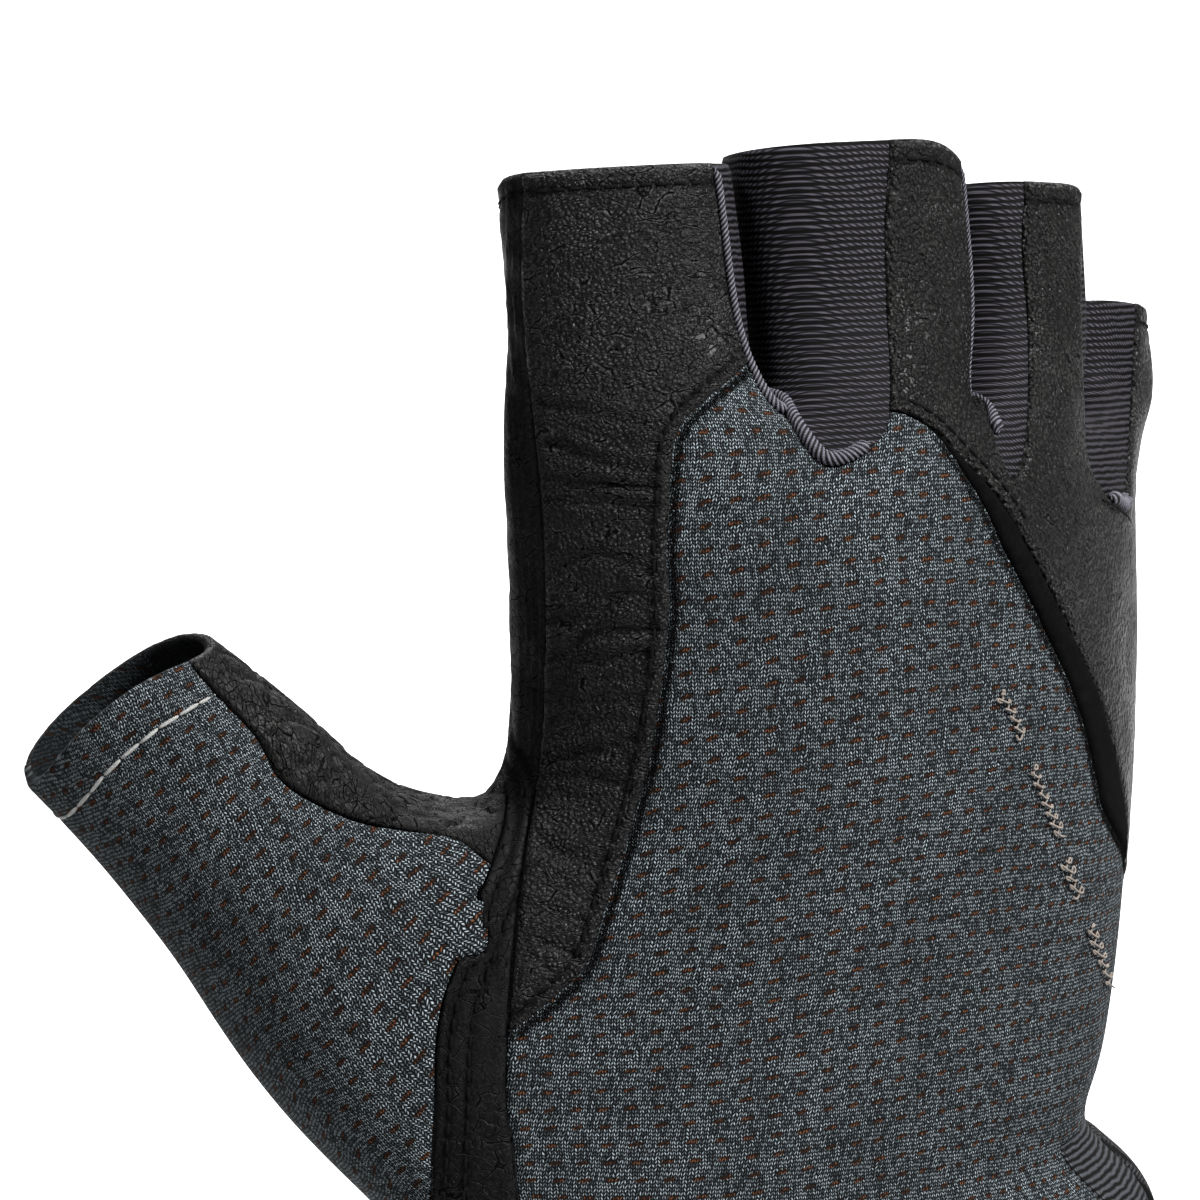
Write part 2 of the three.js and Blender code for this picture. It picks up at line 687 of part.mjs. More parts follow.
const fieldNames = Object.keys(fields);
const distances = fieldNames.map((name) => toDistances(skin.vertices.map((v) => fields[name](v))));
const wholeSkin = {
  points: skin.vertices.map((v, i) => ({
    at: v.point,
    normal: v.normal,
    values: distances.map((d) => d[i]),
  })),
  triangles,
};

// The part of a patch where the field is beyond the half gap on the given side
function clipPatch(patch, name, side, halfGap) {
  const n = fieldNames.indexOf(name);
  const depth = patch.points.map((p) => {
    const d = side * p.values[n] - halfGap;
    return Math.abs(d) < cutSnap ? 0 : d;
  });
  const points = [];
  const kept = new Map();
  const keep = (v) => {
    if (!kept.has(v)) kept.set(v, points.push(patch.points[v]) - 1);
    return kept.get(v);
  };
  const cut = (a, b) => {
    const [low, high] = a < b ? [a, b] : [b, a];
    const key = low + "/" + high;
    if (!kept.has(key)) {
      const w = depth[low] / (depth[low] - depth[high]);
      const [p, q] = [patch.points[low], patch.points[high]];
      kept.set(key, points.push({
        at: p.at.clone().lerp(q.at, w),
        normal: p.normal.clone().lerp(q.normal, w).normalize(),
        values: p.values.map((value, i) => mix(value, q.values[i], w)),
      }) - 1);
    }
    return kept.get(key);
  };
  const out = [];
  for (const triangle of patch.triangles) {
    if (!triangle.some((v) => depth[v] > 0)) continue;
    const loop = [];
    for (let i = 0; i < 3; i += 1) {
      const a = triangle[i];
      const b = triangle[(i + 1) % 3];
      if (depth[a] >= 0) loop.push(keep(a));
      if (depth[a] * depth[b] < 0) loop.push(cut(a, b));
    }
    for (let i = 1; i < loop.length - 1; i += 1) out.push([loop[0], loop[i], loop[i + 1]]);
  }
  return largestPiece({ points, triangles: out });
}

// Drops loose scraps: keeps the triangles that hang together with the most others
function largestPiece(patch) {
  const group = patch.triangles.map((_, i) => i);
  const find = (i) => {
    let at = i;
    while (group[at] !== at) at = group[at];
    group[i] = at;
    return at;
  };
  const edges = new Map();
  patch.triangles.forEach((triangle, i) => {
    for (let k = 0; k < 3; k += 1) {
      const [a, b] = [triangle[k], triangle[(k + 1) % 3]];
      const key = Math.min(a, b) + "/" + Math.max(a, b);
      if (edges.has(key)) group[find(i)] = find(edges.get(key));
      else edges.set(key, i);
    }
  });
  const sizes = new Map();
  patch.triangles.forEach((_, i) => sizes.set(find(i), (sizes.get(find(i)) ?? 0) + 1));
  const largest = [...sizes].sort((a, b) => b[1] - a[1])[0]?.[0];
  const renamed = new Map();
  const points = [];
  const kept = patch.triangles
    .filter((_, i) => find(i) === largest)
    .map((triangle) =>
      triangle.map((v) => {
        if (!renamed.has(v)) renamed.set(v, points.push(patch.points[v]) - 1);
        return renamed.get(v);
      }),
    );
  return { points, triangles: kept };
}

// A wall from a patch: its outer face stands off the skin, its inner face lies the wall's
// thickness inside, and the open edges are closed
function wallGeometry(patch, wall, standOff) {
  const count = patch.points.length;
  const positions = [];
  for (const shift of [standOff, standOff - wall]) {
    for (const p of patch.points) {
      const q = p.at.clone().addScaledVector(p.normal, shift);
      positions.push(q.x, q.y, q.z);
    }
  }
  const index = [];
  const edges = new Set();
  for (const [a, b, c] of patch.triangles) {
    index.push(a, b, c, a + count, c + count, b + count);
    for (const key of [a + "/" + b, b + "/" + c, c + "/" + a]) edges.add(key);
  }
  for (const key of edges) {
    const [a, b] = key.split("/").map(Number);
    if (edges.has(b + "/" + a)) continue;
    index.push(a, a + count, b, b, a + count, b + count);
  }
  const geometry = new THREE.BufferGeometry();
  geometry.setAttribute("position", new THREE.Float32BufferAttribute(positions, 3));
  geometry.setIndex(index);
  geometry.computeVertexNormals();
  return geometry;
}

const looks = {
  leather: { color: 0x1b1b1d, roughness: 0.55, metalness: 0 },
  knuckle: { color: 0x232224, roughness: 0.6, metalness: 0 },
  mesh: { color: 0x3b444c, roughness: 0.9, metalness: 0 },
  knit: { color: 0x2e2c35, roughness: 0.9, metalness: 0 },
  suede: { color: 0x101011, roughness: 1, metalness: 0 },
  elastic: { color: 0x151517, roughness: 0.85, metalness: 0 },
};

const bandStandOff = 0.4;
const knitStandOff = -0.2;
const indexStandOff = 0.3;
const knuckleStandOff = 0.2;

// Each panel: the seams that bound it, as field and side, its wall, stand-off and look
const backOfHand = [["thumb", -1], ["palm", -1]];
const betweenWalls = sideWalls.map((wall) => [wall.name, -1]);
const backPanels = [...backOfHand, ...betweenWalls, ["strip", -1]];
const belowKnuckles = [...backPanels, ["indexBack", -1], ["knuckle", -1]];
const panels = [
  ["thumb_mesh", [["thumb", 1], ["thumbMesh", 1]], meshWall, 0, "mesh"],
  ["thumb_leather", [["thumb", 1], ["thumbMesh", -1]], leatherWall, 0, "leather"],
  ["palm_leather", [["thumb", -1], ["palm", 1], ["cuff", -1]], leatherWall, 0, "leather"],
  ["cuff_band", [["thumb", -1], ["palm", 1], ["cuff", 1]], bandWall, bandStandOff, "elastic"],
  ...sideWalls.map((wall, i) => [
    wall.name,
    [...backOfHand, ...betweenWalls.slice(0, i), [wall.name, 1]],
    knitWall,
    knitStandOff,
    "knit",
  ]),
  ["index_side_strip", [...backOfHand, ...betweenWalls, ["strip", 1]], leatherWall, 0, "leather"],
  ["index_back_leather", [...backPanels, ["indexBack", 1]], leatherWall, indexStandOff, "leather"],
  [
    "knuckle_leather",
    [...backPanels, ["indexBack", -1], ["knuckle", 1]],
    leatherWall,
    knuckleStandOff,
    "knuckle",
  ],
  ["knuckle_edge_trim", [...belowKnuckles, ["trim", 1]], trimWall, trimStandOff, "suede"],
  ["back_mesh", [...belowKnuckles, ["trim", -1], ["gusset", -1]], meshWall, 0, "mesh"],
  ["cuff_gusset", [...belowKnuckles, ["trim", -1], ["gusset", 1]], knitWall, 0, "knit"],
];

const glove = new THREE.Group();
glove.name = "fitness_glove";
for (const [name, cuts, wall, standOff, look] of panels) {
  const halfGap = look === "knit" ? knitHalfGap : seamHalfGap;
  const patch = cuts.reduce((rest, [field, side]) => clipPatch(rest, field, side, halfGap), wholeSkin);
  const material = new THREE.MeshStandardMaterial(looks[look]);
  const mesh = new THREE.Mesh(wallGeometry(patch, wall, standOff), material);
  mesh.name = name;
  glove.add(mesh);
}

export default glove;
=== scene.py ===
import math
import bpy
import numpy as np
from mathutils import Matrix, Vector


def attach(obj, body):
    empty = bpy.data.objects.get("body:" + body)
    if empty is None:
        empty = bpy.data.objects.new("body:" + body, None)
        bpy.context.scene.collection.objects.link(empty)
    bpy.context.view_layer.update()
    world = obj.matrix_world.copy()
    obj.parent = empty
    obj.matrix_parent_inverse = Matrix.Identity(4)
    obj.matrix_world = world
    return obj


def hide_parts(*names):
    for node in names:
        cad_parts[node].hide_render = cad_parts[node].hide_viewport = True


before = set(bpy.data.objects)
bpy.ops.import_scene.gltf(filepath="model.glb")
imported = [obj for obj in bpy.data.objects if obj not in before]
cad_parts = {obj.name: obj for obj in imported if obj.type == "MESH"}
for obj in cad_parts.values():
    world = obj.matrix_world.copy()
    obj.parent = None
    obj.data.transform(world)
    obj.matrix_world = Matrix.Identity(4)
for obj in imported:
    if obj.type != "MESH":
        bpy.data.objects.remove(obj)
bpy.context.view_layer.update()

# Lengths are in millimetres until a mesh is made. The seams on the back are laid out in a
# chart: the plane that the camera sees, u to the right and v up.
mm = 0.001
chart = {
    "azimuth": math.radians(35),
    "elevation": math.radians(15),
    "distance": 1500.0,
    "centre": (-19.51, 93.87),
    "width": 1200 / 8.2,
}
chartRight = np.array([math.cos(chart["azimuth"]), -math.sin(chart["azimuth"]), 0])
chartToward = np.array([
    -math.sin(chart["azimuth"]) * math.cos(chart["elevation"]),
    -math.cos(chart["azimuth"]) * math.cos(chart["elevation"]),
    math.sin(chart["elevation"]),
])
chartUp = np.cross(chartToward, chartRight)
chartTarget = chartRight * chart["centre"][0] + chartUp * chart["centre"][1]
cameraPlace = chartTarget + chartToward * chart["distance"]

# the worn hand's shape, as a coarse grid
grid = {"fingerCols": 4, "edgeCols": 4, "stallRows": 5, "thumbRows": 10, "levels": 3}
rowHeights = [0, 6, 12, 17, 22.5, 28.5, 35, 42, 49, 56, 64, 72.5, 79, 86, 93, 100, 107, 113.5, 120]
# height, centre x and y, half width, half depth, arch per mm, arch centre x
handSections = [
    (0, 1.0, 0.0, 45.0, 31.0, 0.0, 0),
    (8, 2.5, 0.0, 47.5, 33.0, 0.0, 0),
    (16.5, 3.0, 0.0, 48.0, 33.0, 0.0, 0),
    (22, 2.0, 0.0, 46.4, 31.3, 0.0, 4),
    (28, 0.6, 0.0, 41.8, 27.6, 0.0005, 8),
    (36, 3.0, 0.0, 43.1, 26.0, 0.0015, 10),
    (55, 9.8, 0.0, 45.1, 22.5, 0.0045, 12),
    (80, 17.6, -1.0, 45.4, 18.0, 0.007, 14),
    (100, 19.8, -0.5, 46.5, 15.5, 0.0075, 15),
    (112, 20.9, 1.0, 47.8, 14.0, 0.0075, 15),
    (122, 21.9, 3.5, 47.8, 13.0, 0.0075, 15),
]
crotchLine = [(-30, 120), (0, 119), (28, 117), (46, 112), (66, 104)]
fingerShares = [0, 0.27, 0.54, 0.785, 1]
hand = {"power": 2.5, "cornerAt": 0.92, "levelBelow": 60, "freeAbove": 96, "crotchDip": 1.5}
# base, axis, turn of the section, length, drop of the hem by column, and rows of distance,
# offset x and y, half width, half depth
stalls = [
    {"base": (-13.8, 5.5, 92), "axis": (0.115, 0.27, 1), "turn": -30, "length": 57.4,
     "rows": [(0, 0, 0, 13, 12), (25, 0.8, 0, 14.7, 11.5), (45, 0.5, 0, 14.6, 11), (58, 0, 0, 14.2, 10.5)],
     "hemDrop": [(10, 0), (12, 1.2), (13, 1.8), (14, 0.6), (15, 0)]},
    {"base": (16, -3, 92), "axis": (0.13, 0.32, 1), "turn": -8, "length": 57.8,
     "rows": [(0, -0.5, 0, 14.5, 12), (25, -1, 0, 15.3, 11.5), (70, -1, 0, 15.3, 11.5)],
     "hemDrop": [(3, 0), (4, 1.2), (5, 3.4), (6, 3.8), (8, 1.5), (10, 0)]},
    {"base": (38.4, -0.6, 86), "axis": (0.17, 0.34, 1), "turn": 12, "length": 55.2,
     "rows": [(0, -0.3, 0, 11.9, 11.2), (25, -1.1, 0, 11.3, 10.8), (70, -1.1, 0, 11.1, 10.8)],
     "hemDrop": [(3, 0), (4, 0.7), (5, 2.2), (6, 2.4), (8, 1), (10, 0)]},
    {"base": (56.2, 7.7, 76), "axis": (0.15, 0.36, 1), "turn": 32, "length": 46.5,
     "rows": [(0, 0, 0, 10.5, 10.5), (20, 0.3, 0, 10.5, 10), (45, -0.5, 0, 10.4, 9.6),
              (70, -0.5, 0, 10.4, 9.6)],
     "hemDrop": [(3, 0), (4, 0.4), (5, 1), (8, 0)]},
]
stallSection = {"power": 2.3, "corner": math.radians(50), "rootBlend": 0.4}
thumb = {
    "base": np.array([-30.2, 6.5, 21.3]),
    "end": np.array([-75.3, 28.1, 88.4]),
    "rows": [(0, 0, 0, 14, 13), (25, 1.0, 0, 16.3, 14), (50, 3.9, 0, 16.1, 12.5),
             (61, 4.0, 0, 15.7, 11.5), (72.7, 3.0, 0, 14.8, 10.5), (84, 1.3, 0, 14, 9.5)],
    "power": 2.2,
    "holeRows": (4, 11),
    "holePalm": 4,
    "corner": math.radians(42),
    "rimTilt": 1.6,
    "rimRise": 5.0,
    "side": (0.794, 0.607),
    "blendSpan": 0.45,
    "blendPower": 1.5,
    "grown": 0.6,
}
# how freely the cage's points settle: the hand's upper rows, its last row, the rows of a stall
# and of the thumb from their roots, and the hand's points round the thumb's hole
settling = {
    "upper": 0.6, "last": 0.35, "stall": (0.5, 0.15), "thumb": (1, 1, 1, 1, 0.4), "hole": (1, 0.7, 0.3),
    "passes": 60, "strength": 0.25,
}

# seams, in the chart
thumbJoint = [
    (-13.6, -10), (-12.4, -20.1), (-11.7, -24.4), (-12.6, -30.5), (-14.1, -34.9), (-17.2, -43.9),
    (-19.0, -48.8), (-19.9, -54.4), (-20.1, -61.0), (-20.7, -73.2), (-21, -120),
]
thumbMeshEdge = [
    (-54, 2), (-49.9, -7.4), (-46.3, -11.7), (-41.7, -16.7), (-38.9, -21.8),
    (-34.3, -24.9), (-28.4, -27.2), (-24.5, -27.8), (-17.2, -29.0), (-14.4, -31.1), (-8, -36),
]
indexStripSeam = [
    (-10.0, 62), (-9.6, 51), (-9.5, 36.6), (-8.5, 24.4), (-7.3, 12.2), (-6.7, 0), (-7.3, -18.3),
    (-9.1, -30.5), (-10.4, -42.7), (-11.2, -53.7), (-11.4, -61), (-10.6, -67), (-10.1, -73), (-9.6, -110),
]
indexTailEdge = [
    (24, 62), (22, 40), (19.6, 30.6), (13.2, 24.4), (10.1, 21.3), (8.9, 17.1), (8.7, 12.2),
    (8.3, 4.9), (8.7, 0), (7.4, -12.2), (6.2, -19.5), (4.9, -24.4), (3.0, -31.1), (0.6, -38.4),
    (-1.5, -44.5), (-5.7, -48.8), (-11.0, -53.0), (-20, -60),
]
knuckleEdge = [
    (12, 40), (22, 30), (28, 22), (34.8, 23.2), (37.2, 22.9), (40.2, 21.3), (43.9, 17.7), (48.8, 12.2),
    (53.7, 3.7), (57.9, -4.9), (61.0, -12.2), (63.4, -22.0), (64.6, -29.3), (66.5, -36), (72, -48),
]
sideWalls = [
    {"name": "fourchette_index_middle", "stall": 0, "middle": 26, "outline": [
        (16.5, 62), (16.5, 53.0), (17.7, 42.7), (18.9, 32.9), (20.7, 28.0), (23.2, 22.0), (28.0, 16.5),
        (31.7, 17.7), (34.8, 20.7), (35.4, 24.4), (35.0, 36.6), (34.8, 45.1), (35.4, 56.1), (35.4, 62)]},
    {"name": "fourchette_middle_ring", "stall": 1, "middle": 49, "outline": [
        (45.1, 62), (45.1, 50.9), (46.1, 31.7), (47.6, 22.0), (50.6, 14.9), (51.8, 18.3), (52.2, 32.9),
        (51.5, 42.7), (51.8, 50.9), (51.8, 62)]},
    {"name": "fourchette_ring_little", "stall": 2, "middle": 62, "outline": [
        (58.8, 50), (58.8, 36.0), (59.1, 24.4), (60.0, 15.9), (64.0, 10.7), (64.3, 12.2), (65.0, 26.8),
        (65.5, 35.1), (65.5, 50)]},
]
thumbPalmSeam = [  # x, z
    (-70, 81), (-24, 79), (-14, 75), (-9, 66), (-8, 50), (-13, 38), (-22, 28), (-30, 20), (-34, 8),
    (-34, -10),
]
seams = {
    "halfGap": 0.12, "sideWallStart": 0.4, "palmAt": 0.6, "radialAt": 0.6, "ulnar": [(20, -0.4), (45, 1.6)],
    "thumbWrap": 200, "cuffTop": 26, "gussetFrom": -2.5, "knuckleSide": 54,
    "trimStart": 41, "trimEnd": -33, "trimTaper": 0.35, "trimWidth": 2.8, "colWidth": 4.8,
}

fingerCols, edgeCols = grid["fingerCols"], grid["edgeCols"]
handCols = 8 * fingerCols + 2 * edgeCols
stallCols = 2 * fingerCols + 2 * edgeCols


def sectionAt(rows, t):
    last = len(rows) - 1
    at = min(max(t, rows[0][0]), rows[last][0])
    i = 0
    while i < last - 1 and at >= rows[i + 1][0]:
        i += 1

    def slope(k, c):
        if k == 0:
            return (rows[1][c] - rows[0][c]) / (rows[1][0] - rows[0][0])
        if k == last:
            return (rows[last][c] - rows[last - 1][c]) / (rows[last][0] - rows[last - 1][0])
        before, after = rows[k][0] - rows[k - 1][0], rows[k + 1][0] - rows[k][0]
        slopeBefore = (rows[k][c] - rows[k - 1][c]) / before
        slopeAfter = (rows[k + 1][c] - rows[k][c]) / after
        return (slopeBefore * after + slopeAfter * before) / (before + after)

    h = rows[i + 1][0] - rows[i][0]
    s = (at - rows[i][0]) / h
    return [
        (2 * s**3 - 3 * s**2 + 1) * rows[i][c]
        + (s**3 - 2 * s**2 + s) * h * slope(i, c)
        + (3 * s**2 - 2 * s**3) * rows[i + 1][c]
        + (s**3 - s**2) * h * slope(i + 1, c)
        for c in range(1, len(rows[0]))
    ]


def linearAt(rows, x):
    return float(np.interp(x, [r[0] for r in rows], [r[1] for r in rows]))


def superEllipse(angle, a, b, power):
    c, s = math.cos(angle), math.sin(angle)
    return math.copysign(a * abs(c) ** (2 / power), c), math.copysign(b * abs(s) ** (2 / power), s)


def unit(v):
    return v / np.linalg.norm(v)


def handUnit(col):
    k = col % handCols
    cornerAt, power = hand["cornerAt"], hand["power"]
    cornerY = (1 - cornerAt**power) ** (1 / power)

    def other(v):
        return (1 - abs(v) ** power) ** (1 / power)

    def across(i):
        f = i / fingerCols
        j = min(int(f), 3)
        share = fingerShares[j] + (fingerShares[j + 1] - fingerShares[j]) * (f - j)
        return -cornerAt + 2 * cornerAt * share

    if k <= 4 * fingerCols:
        return across(k), -other(across(k))
    if k < 4 * fingerCols + edgeCols:
        y = -cornerY + 2 * cornerY * (k - 4 * fingerCols) / edgeCols
        return other(y), y
    if k <= 8 * fingerCols + edgeCols:
        x = across(8 * fingerCols + edgeCols - k)
        return x, other(x)
    y = cornerY - 2 * cornerY * (k - 8 * fingerCols - edgeCols) / edgeCols
    return -other(y), y


def handPoint(col, height):
    ux, uy = handUnit(col)
    z = height
    for _ in range(3):
        xc, yc, a, b, arch, archX = sectionAt(handSections, z)
        x = xc + a * ux
        y = yc + b * uy + arch * (x - archX) ** 2
        level = hand["levelBelow"]
        z = height if height < level else level + (height - level) * (linearAt(crotchLine, x) - level) / level
    return np.array([x, y, z])


def stallFrame(stall):
    axis = unit(np.array(stall["axis"], float))
    turn = math.radians(stall["turn"])
    side = np.array([math.cos(turn), math.sin(turn), 0])
    side = unit(side - axis * side.dot(axis))
    return np.array(stall["base"], float), axis, side, np.cross(axis, side)


def stallPoint(stall, col, t):
    base, axis, side, depth = stallFrame(stall)
    ox, oy, a, b = sectionAt(stall["rows"], t)
    m = col % stallCols
    corner = stallSection["corner"]
    face = math.pi - 2 * corner
    if m <= fingerCols:
        angle = -math.pi + corner + face * m / fingerCols
    elif m < fingerCols + edgeCols:
        angle = -corner + 2 * corner * (m - fingerCols) / edgeCols
    elif m <= 2 * fingerCols + edgeCols:
        angle = corner + face * (m - fingerCols - edgeCols) / fingerCols
    else:
        angle = math.pi - corner + 2 * corner * (m - 2 * fingerCols - edgeCols) / edgeCols
    x, y = superEllipse(angle, a, b, stallSection["power"])
    return base + axis * t + side * (x + ox) + depth * (y + oy)


thumbAxis = unit(thumb["end"] - thumb["base"])
thumbLength = float(np.linalg.norm(thumb["end"] - thumb["base"]))
thumbSide = chartRight * thumb["side"][0] + chartUp * thumb["side"][1]
thumbSide = unit(thumbSide - thumbAxis * thumbSide.dot(thumbAxis))
thumbDepth = np.cross(thumbAxis, thumbSide)
thumbNear = math.copysign(1, thumbDepth.dot(chartToward))


def thumbPoint(angle, t):
    ox, oy, a, b = sectionAt(thumb["rows"], t)
    x, y = superEllipse(angle, a, b, thumb["power"])
    return thumb["base"] + thumbAxis * t + thumbSide * (x + ox) + thumbDepth * (y + oy)


def buildCage():
    points, facts, cells = [], [], []

    def add(point, settle, zone, col, row, away, along=0.0):
        points.append(np.array(point, float))
        facts.append({"settle": settle, "zone": zone, "col": col, "row": row, "away": away, "along": along})
        return len(points) - 1

    rowCount = len(rowHeights)
    holeLow, holeHigh = thumb["holeRows"]
    holeFrom, holeTo = handCols - edgeCols - thumb["holePalm"], handCols
    table = []
    for i, height in enumerate(rowHeights):
        row = []
        for k in range(handCols):
            hidden = holeLow < i < holeHigh and holeFrom < k < holeTo
            settle = settling["upper"] if height > hand["freeAbove"] else 0
            settle = settling["last"] if i == rowCount - 1 else settle
            row.append(-1 if hidden else add(handPoint(k, height), settle, "hand", k, i, min(height, 40)))
        table.append(row)
    for i in range(rowCount - 1):
        for k in range(handCols):
            if holeLow <= i < holeHigh and holeFrom <= k < holeTo:
                continue
            n = (k + 1) % handCols
            cells.append((table[i][k], table[i][n], table[i + 1][n], table[i + 1][k]))
    top = table[-1]

    def palmCol(j):
        return 8 * fingerCols + edgeCols - j * fingerCols

    crotches = []
    for j in (1, 2, 3):
        start, end = top[j * fingerCols], top[palmCol(j)]
        line = [start]
        for s in range(1, edgeCols):
            p = points[start] + (points[end] - points[start]) * s / edgeCols
            p[2] -= hand["crotchDip"] * math.sin(math.pi * s / edgeCols)
            line.append(add(p, settling["last"], "crotch", s, j, 35))
        line.append(end)
        crotches.append(line)
    for j, stall in enumerate(stalls):
        base = [top[j * fingerCols + m] for m in range(fingerCols + 1)]
        base += [crotches[j][s] if j < 3 else top[4 * fingerCols + s] for s in range(1, edgeCols)]
        base += [top[palmCol(j + 1) + m] for m in range(fingerCols + 1)]
        base += [
            crotches[j - 1][edgeCols - s] if j > 0 else top[8 * fingerCols + edgeCols + s]
            for s in range(1, edgeCols)
        ]
        origin, axis, _, _ = stallFrame(stall)
        starts = [(points[v] - origin).dot(axis) for v in base]
        ends = [stall["length"] - linearAt(stall["hemDrop"], m) for m in range(len(base))]
        below = base
        for i in range(1, grid["stallRows"] + 1):
            row = []
            for m, v in enumerate(base):
                t = starts[m] + (ends[m] - starts[m]) * i / grid["stallRows"]
                p = stallPoint(stall, m, t)
                if i == 1:
                    p = p + (points[v] + axis * (t - starts[m]) - p) * stallSection["rootBlend"]
                settle = settling["stall"][i - 1] if i <= len(settling["stall"]) else 0
                row.append(add(p, settle, "stall%d" % j, m, i, ends[m] - t))
            for m in range(stallCols):
                n = (m + 1) % stallCols
                cells.append((below[m], below[n], row[n], row[m]))
            below = row
    # the thumb's rows start on the rim of its hole: top, back, bottom, palm
    ring, angles = [], []
    across, down, corner = holeTo - holeFrom, holeHigh - holeLow, thumb["corner"]
    for i in range(across):
        ring.append(table[holeHigh][holeFrom + i])
        angles.append(-corner + 2 * corner * i / across)
    for i in range(down):
        ring.append(table[holeHigh - i][0])
        angles.append(corner + (math.pi - 2 * corner) * i / down)
    for i in range(across):
        ring.append(table[holeLow][(holeTo - i) % handCols])
        angles.append(math.pi - corner + 2 * corner * i / across)
    for i in range(down):
        ring.append(table[holeLow + i][holeFrom])
        angles.append(math.pi + corner + (math.pi - 2 * corner) * i / down)
    starts = [(points[v] - thumb["base"]).dot(thumbAxis) for v in ring]
    below = ring
    for i in range(1, grid["thumbRows"] + 1):
        f = i / grid["thumbRows"]
        blend = max(0, 1 - f / thumb["blendSpan"]) ** thumb["blendPower"]
        row = []
        for m, v in enumerate(ring):
            end = thumbLength - thumb["rimTilt"] * math.sin(angles[m])
            end += thumb["rimRise"] * max(0, math.sin(angles[m])) ** 2
            t = starts[m] + (end - starts[m]) * f
            angle = angles[m] * thumbNear
            onTube = thumbPoint(angle, max(t, 0))
            grown = points[v] + (onTube - thumbPoint(angle, max(starts[m], 0))) * thumb["grown"]
            settle = settling["thumb"][i - 1] if i <= len(settling["thumb"]) else 0
            row.append(add(onTube + (grown - onTube) * blend, settle, "thumb", angles[m], i, end - t, t))
            facts[row[-1]]["root"] = v
        for m in range(len(ring)):
            n = (m + 1) % len(ring)
            cells.append((below[m], row[m], row[n], below[n]))
        below = row
    for v, angle, t in zip(ring, angles, starts):
        facts[v]["ringAngle"] = angle
        facts[v]["along"] = t
    points = settleCage(np.array(points), facts, cells, ring)
    return points, facts, np.array(cells), table, crotches


def settleCage(points, facts, cells, ring):
    around = [set() for _ in facts]
    for cell in cells:
        for a in range(4):
            around[cell[a]].add(cell[(a + 1) % 4])
            around[cell[(a + 1) % 4]].add(cell[a])
    level = {v: 0 for v in ring}
    front = list(ring)
    for depth in (1, 2):
        found = []
        for v in front:
            for u in around[v]:
                if u not in level and facts[u]["zone"] == "hand":
                    level[u] = depth
                    found.append(u)
        front = found
    for v, depth in level.items():
        if facts[v]["row"] > 3:
            facts[v]["settle"] = max(facts[v]["settle"], settling["hole"][depth])
    most = max(len(a) for a in around)
    table = np.array([list(a) + [i] * (most - len(a)) for i, a in enumerate(around)])
    counts = np.array([len(a) for a in around])[:, None]
    freedom = np.array([f["settle"] for f in facts])[:, None]

    def pull(values):
        total = values[table].sum(1) - values * (most - counts)
        return total / counts - values

    for _ in range(settling["passes"]):
        points = points - settling["strength"] * freedom * pull(pull(points))
    return points


def normalsOf(points, triangles, passes=0):
    corners = points[triangles]
    flat = np.cross(corners[:, 1] - corners[:, 0], corners[:, 2] - corners[:, 0])
    normals = np.zeros((len(points), 3))
    for c in range(3):
        np.add.at(normals, triangles[:, c], flat)
    for _ in range(passes):
        sums = normals / np.maximum(np.linalg.norm(normals, axis=1, keepdims=True), 1e-9)
        normals = sums * 2
        for a, b, c in ((0, 1, 2), (1, 2, 0), (2, 0, 1)):
            np.add.at(normals, triangles[:, a], sums[triangles[:, b]] + sums[triangles[:, c]])
    return normals / np.maximum(np.linalg.norm(normals, axis=1, keepdims=True), 1e-9)


def splitQuads(points, quads):
    p = points[quads]
    short = np.linalg.norm(p[:, 0] - p[:, 2], axis=1) <= np.linalg.norm(p[:, 1] - p[:, 3], axis=1)
    first = np.where(short[:, None], quads[:, [0, 1, 2]], quads[:, [0, 1, 3]])
    second = np.where(short[:, None], quads[:, [0, 2, 3]], quads[:, [1, 2, 3]])
    return np.concatenate([first, second])


def subdivide(values, quads):
    count = len(values)
    pairs = np.stack([quads, np.roll(quads, -1, axis=1)], axis=2).reshape(-1, 2)
    pairs.sort(axis=1)
    edges, inverse = np.unique(pairs, axis=0, return_inverse=True)
    inverse = inverse.reshape(-1)
    facePoints = values[quads].mean(1)
    middles = values[edges].mean(1)
    shared = np.bincount(inverse, minlength=len(edges))
    faceSum = np.zeros_like(middles)
    np.add.at(faceSum, inverse, np.repeat(facePoints, 4, axis=0))
    inner = shared == 2
    edgePoints = np.where(inner[:, None], (middles * 2 + faceSum) / 4, middles)
    valence = np.bincount(quads.reshape(-1), minlength=count)[:, None]
    around = np.zeros_like(values)
    np.add.at(around, quads.reshape(-1), np.repeat(facePoints, 4, axis=0))
    edgeCount = np.bincount(edges.reshape(-1), minlength=count)[:, None]
    middleSum = np.zeros_like(values)
    np.add.at(middleSum, edges.reshape(-1), np.repeat(middles, 2, axis=0))
    moved = (around / valence + 2 * middleSum / edgeCount + (valence - 3) * values) / valence
    rim = np.zeros(count, bool)
    rim[edges[~inner].reshape(-1)] = True
    rimSum = np.zeros_like(values)
    np.add.at(rimSum, edges[~inner].reshape(-1), np.repeat(middles[~inner], 2, axis=0))
    moved[rim] = values[rim] * 0.5 + rimSum[rim] * 0.25
    edgeIds = inverse.reshape(-1, 4) + count
    faceIds = np.arange(len(quads)) + count + len(edges)
    parts = [
        np.stack([quads[:, k], edgeIds[:, k], faceIds, edgeIds[:, (k + 3) % 4]], axis=1) for k in range(4)
    ]
    return np.concatenate([moved, edgePoints, facePoints]), np.concatenate(parts)


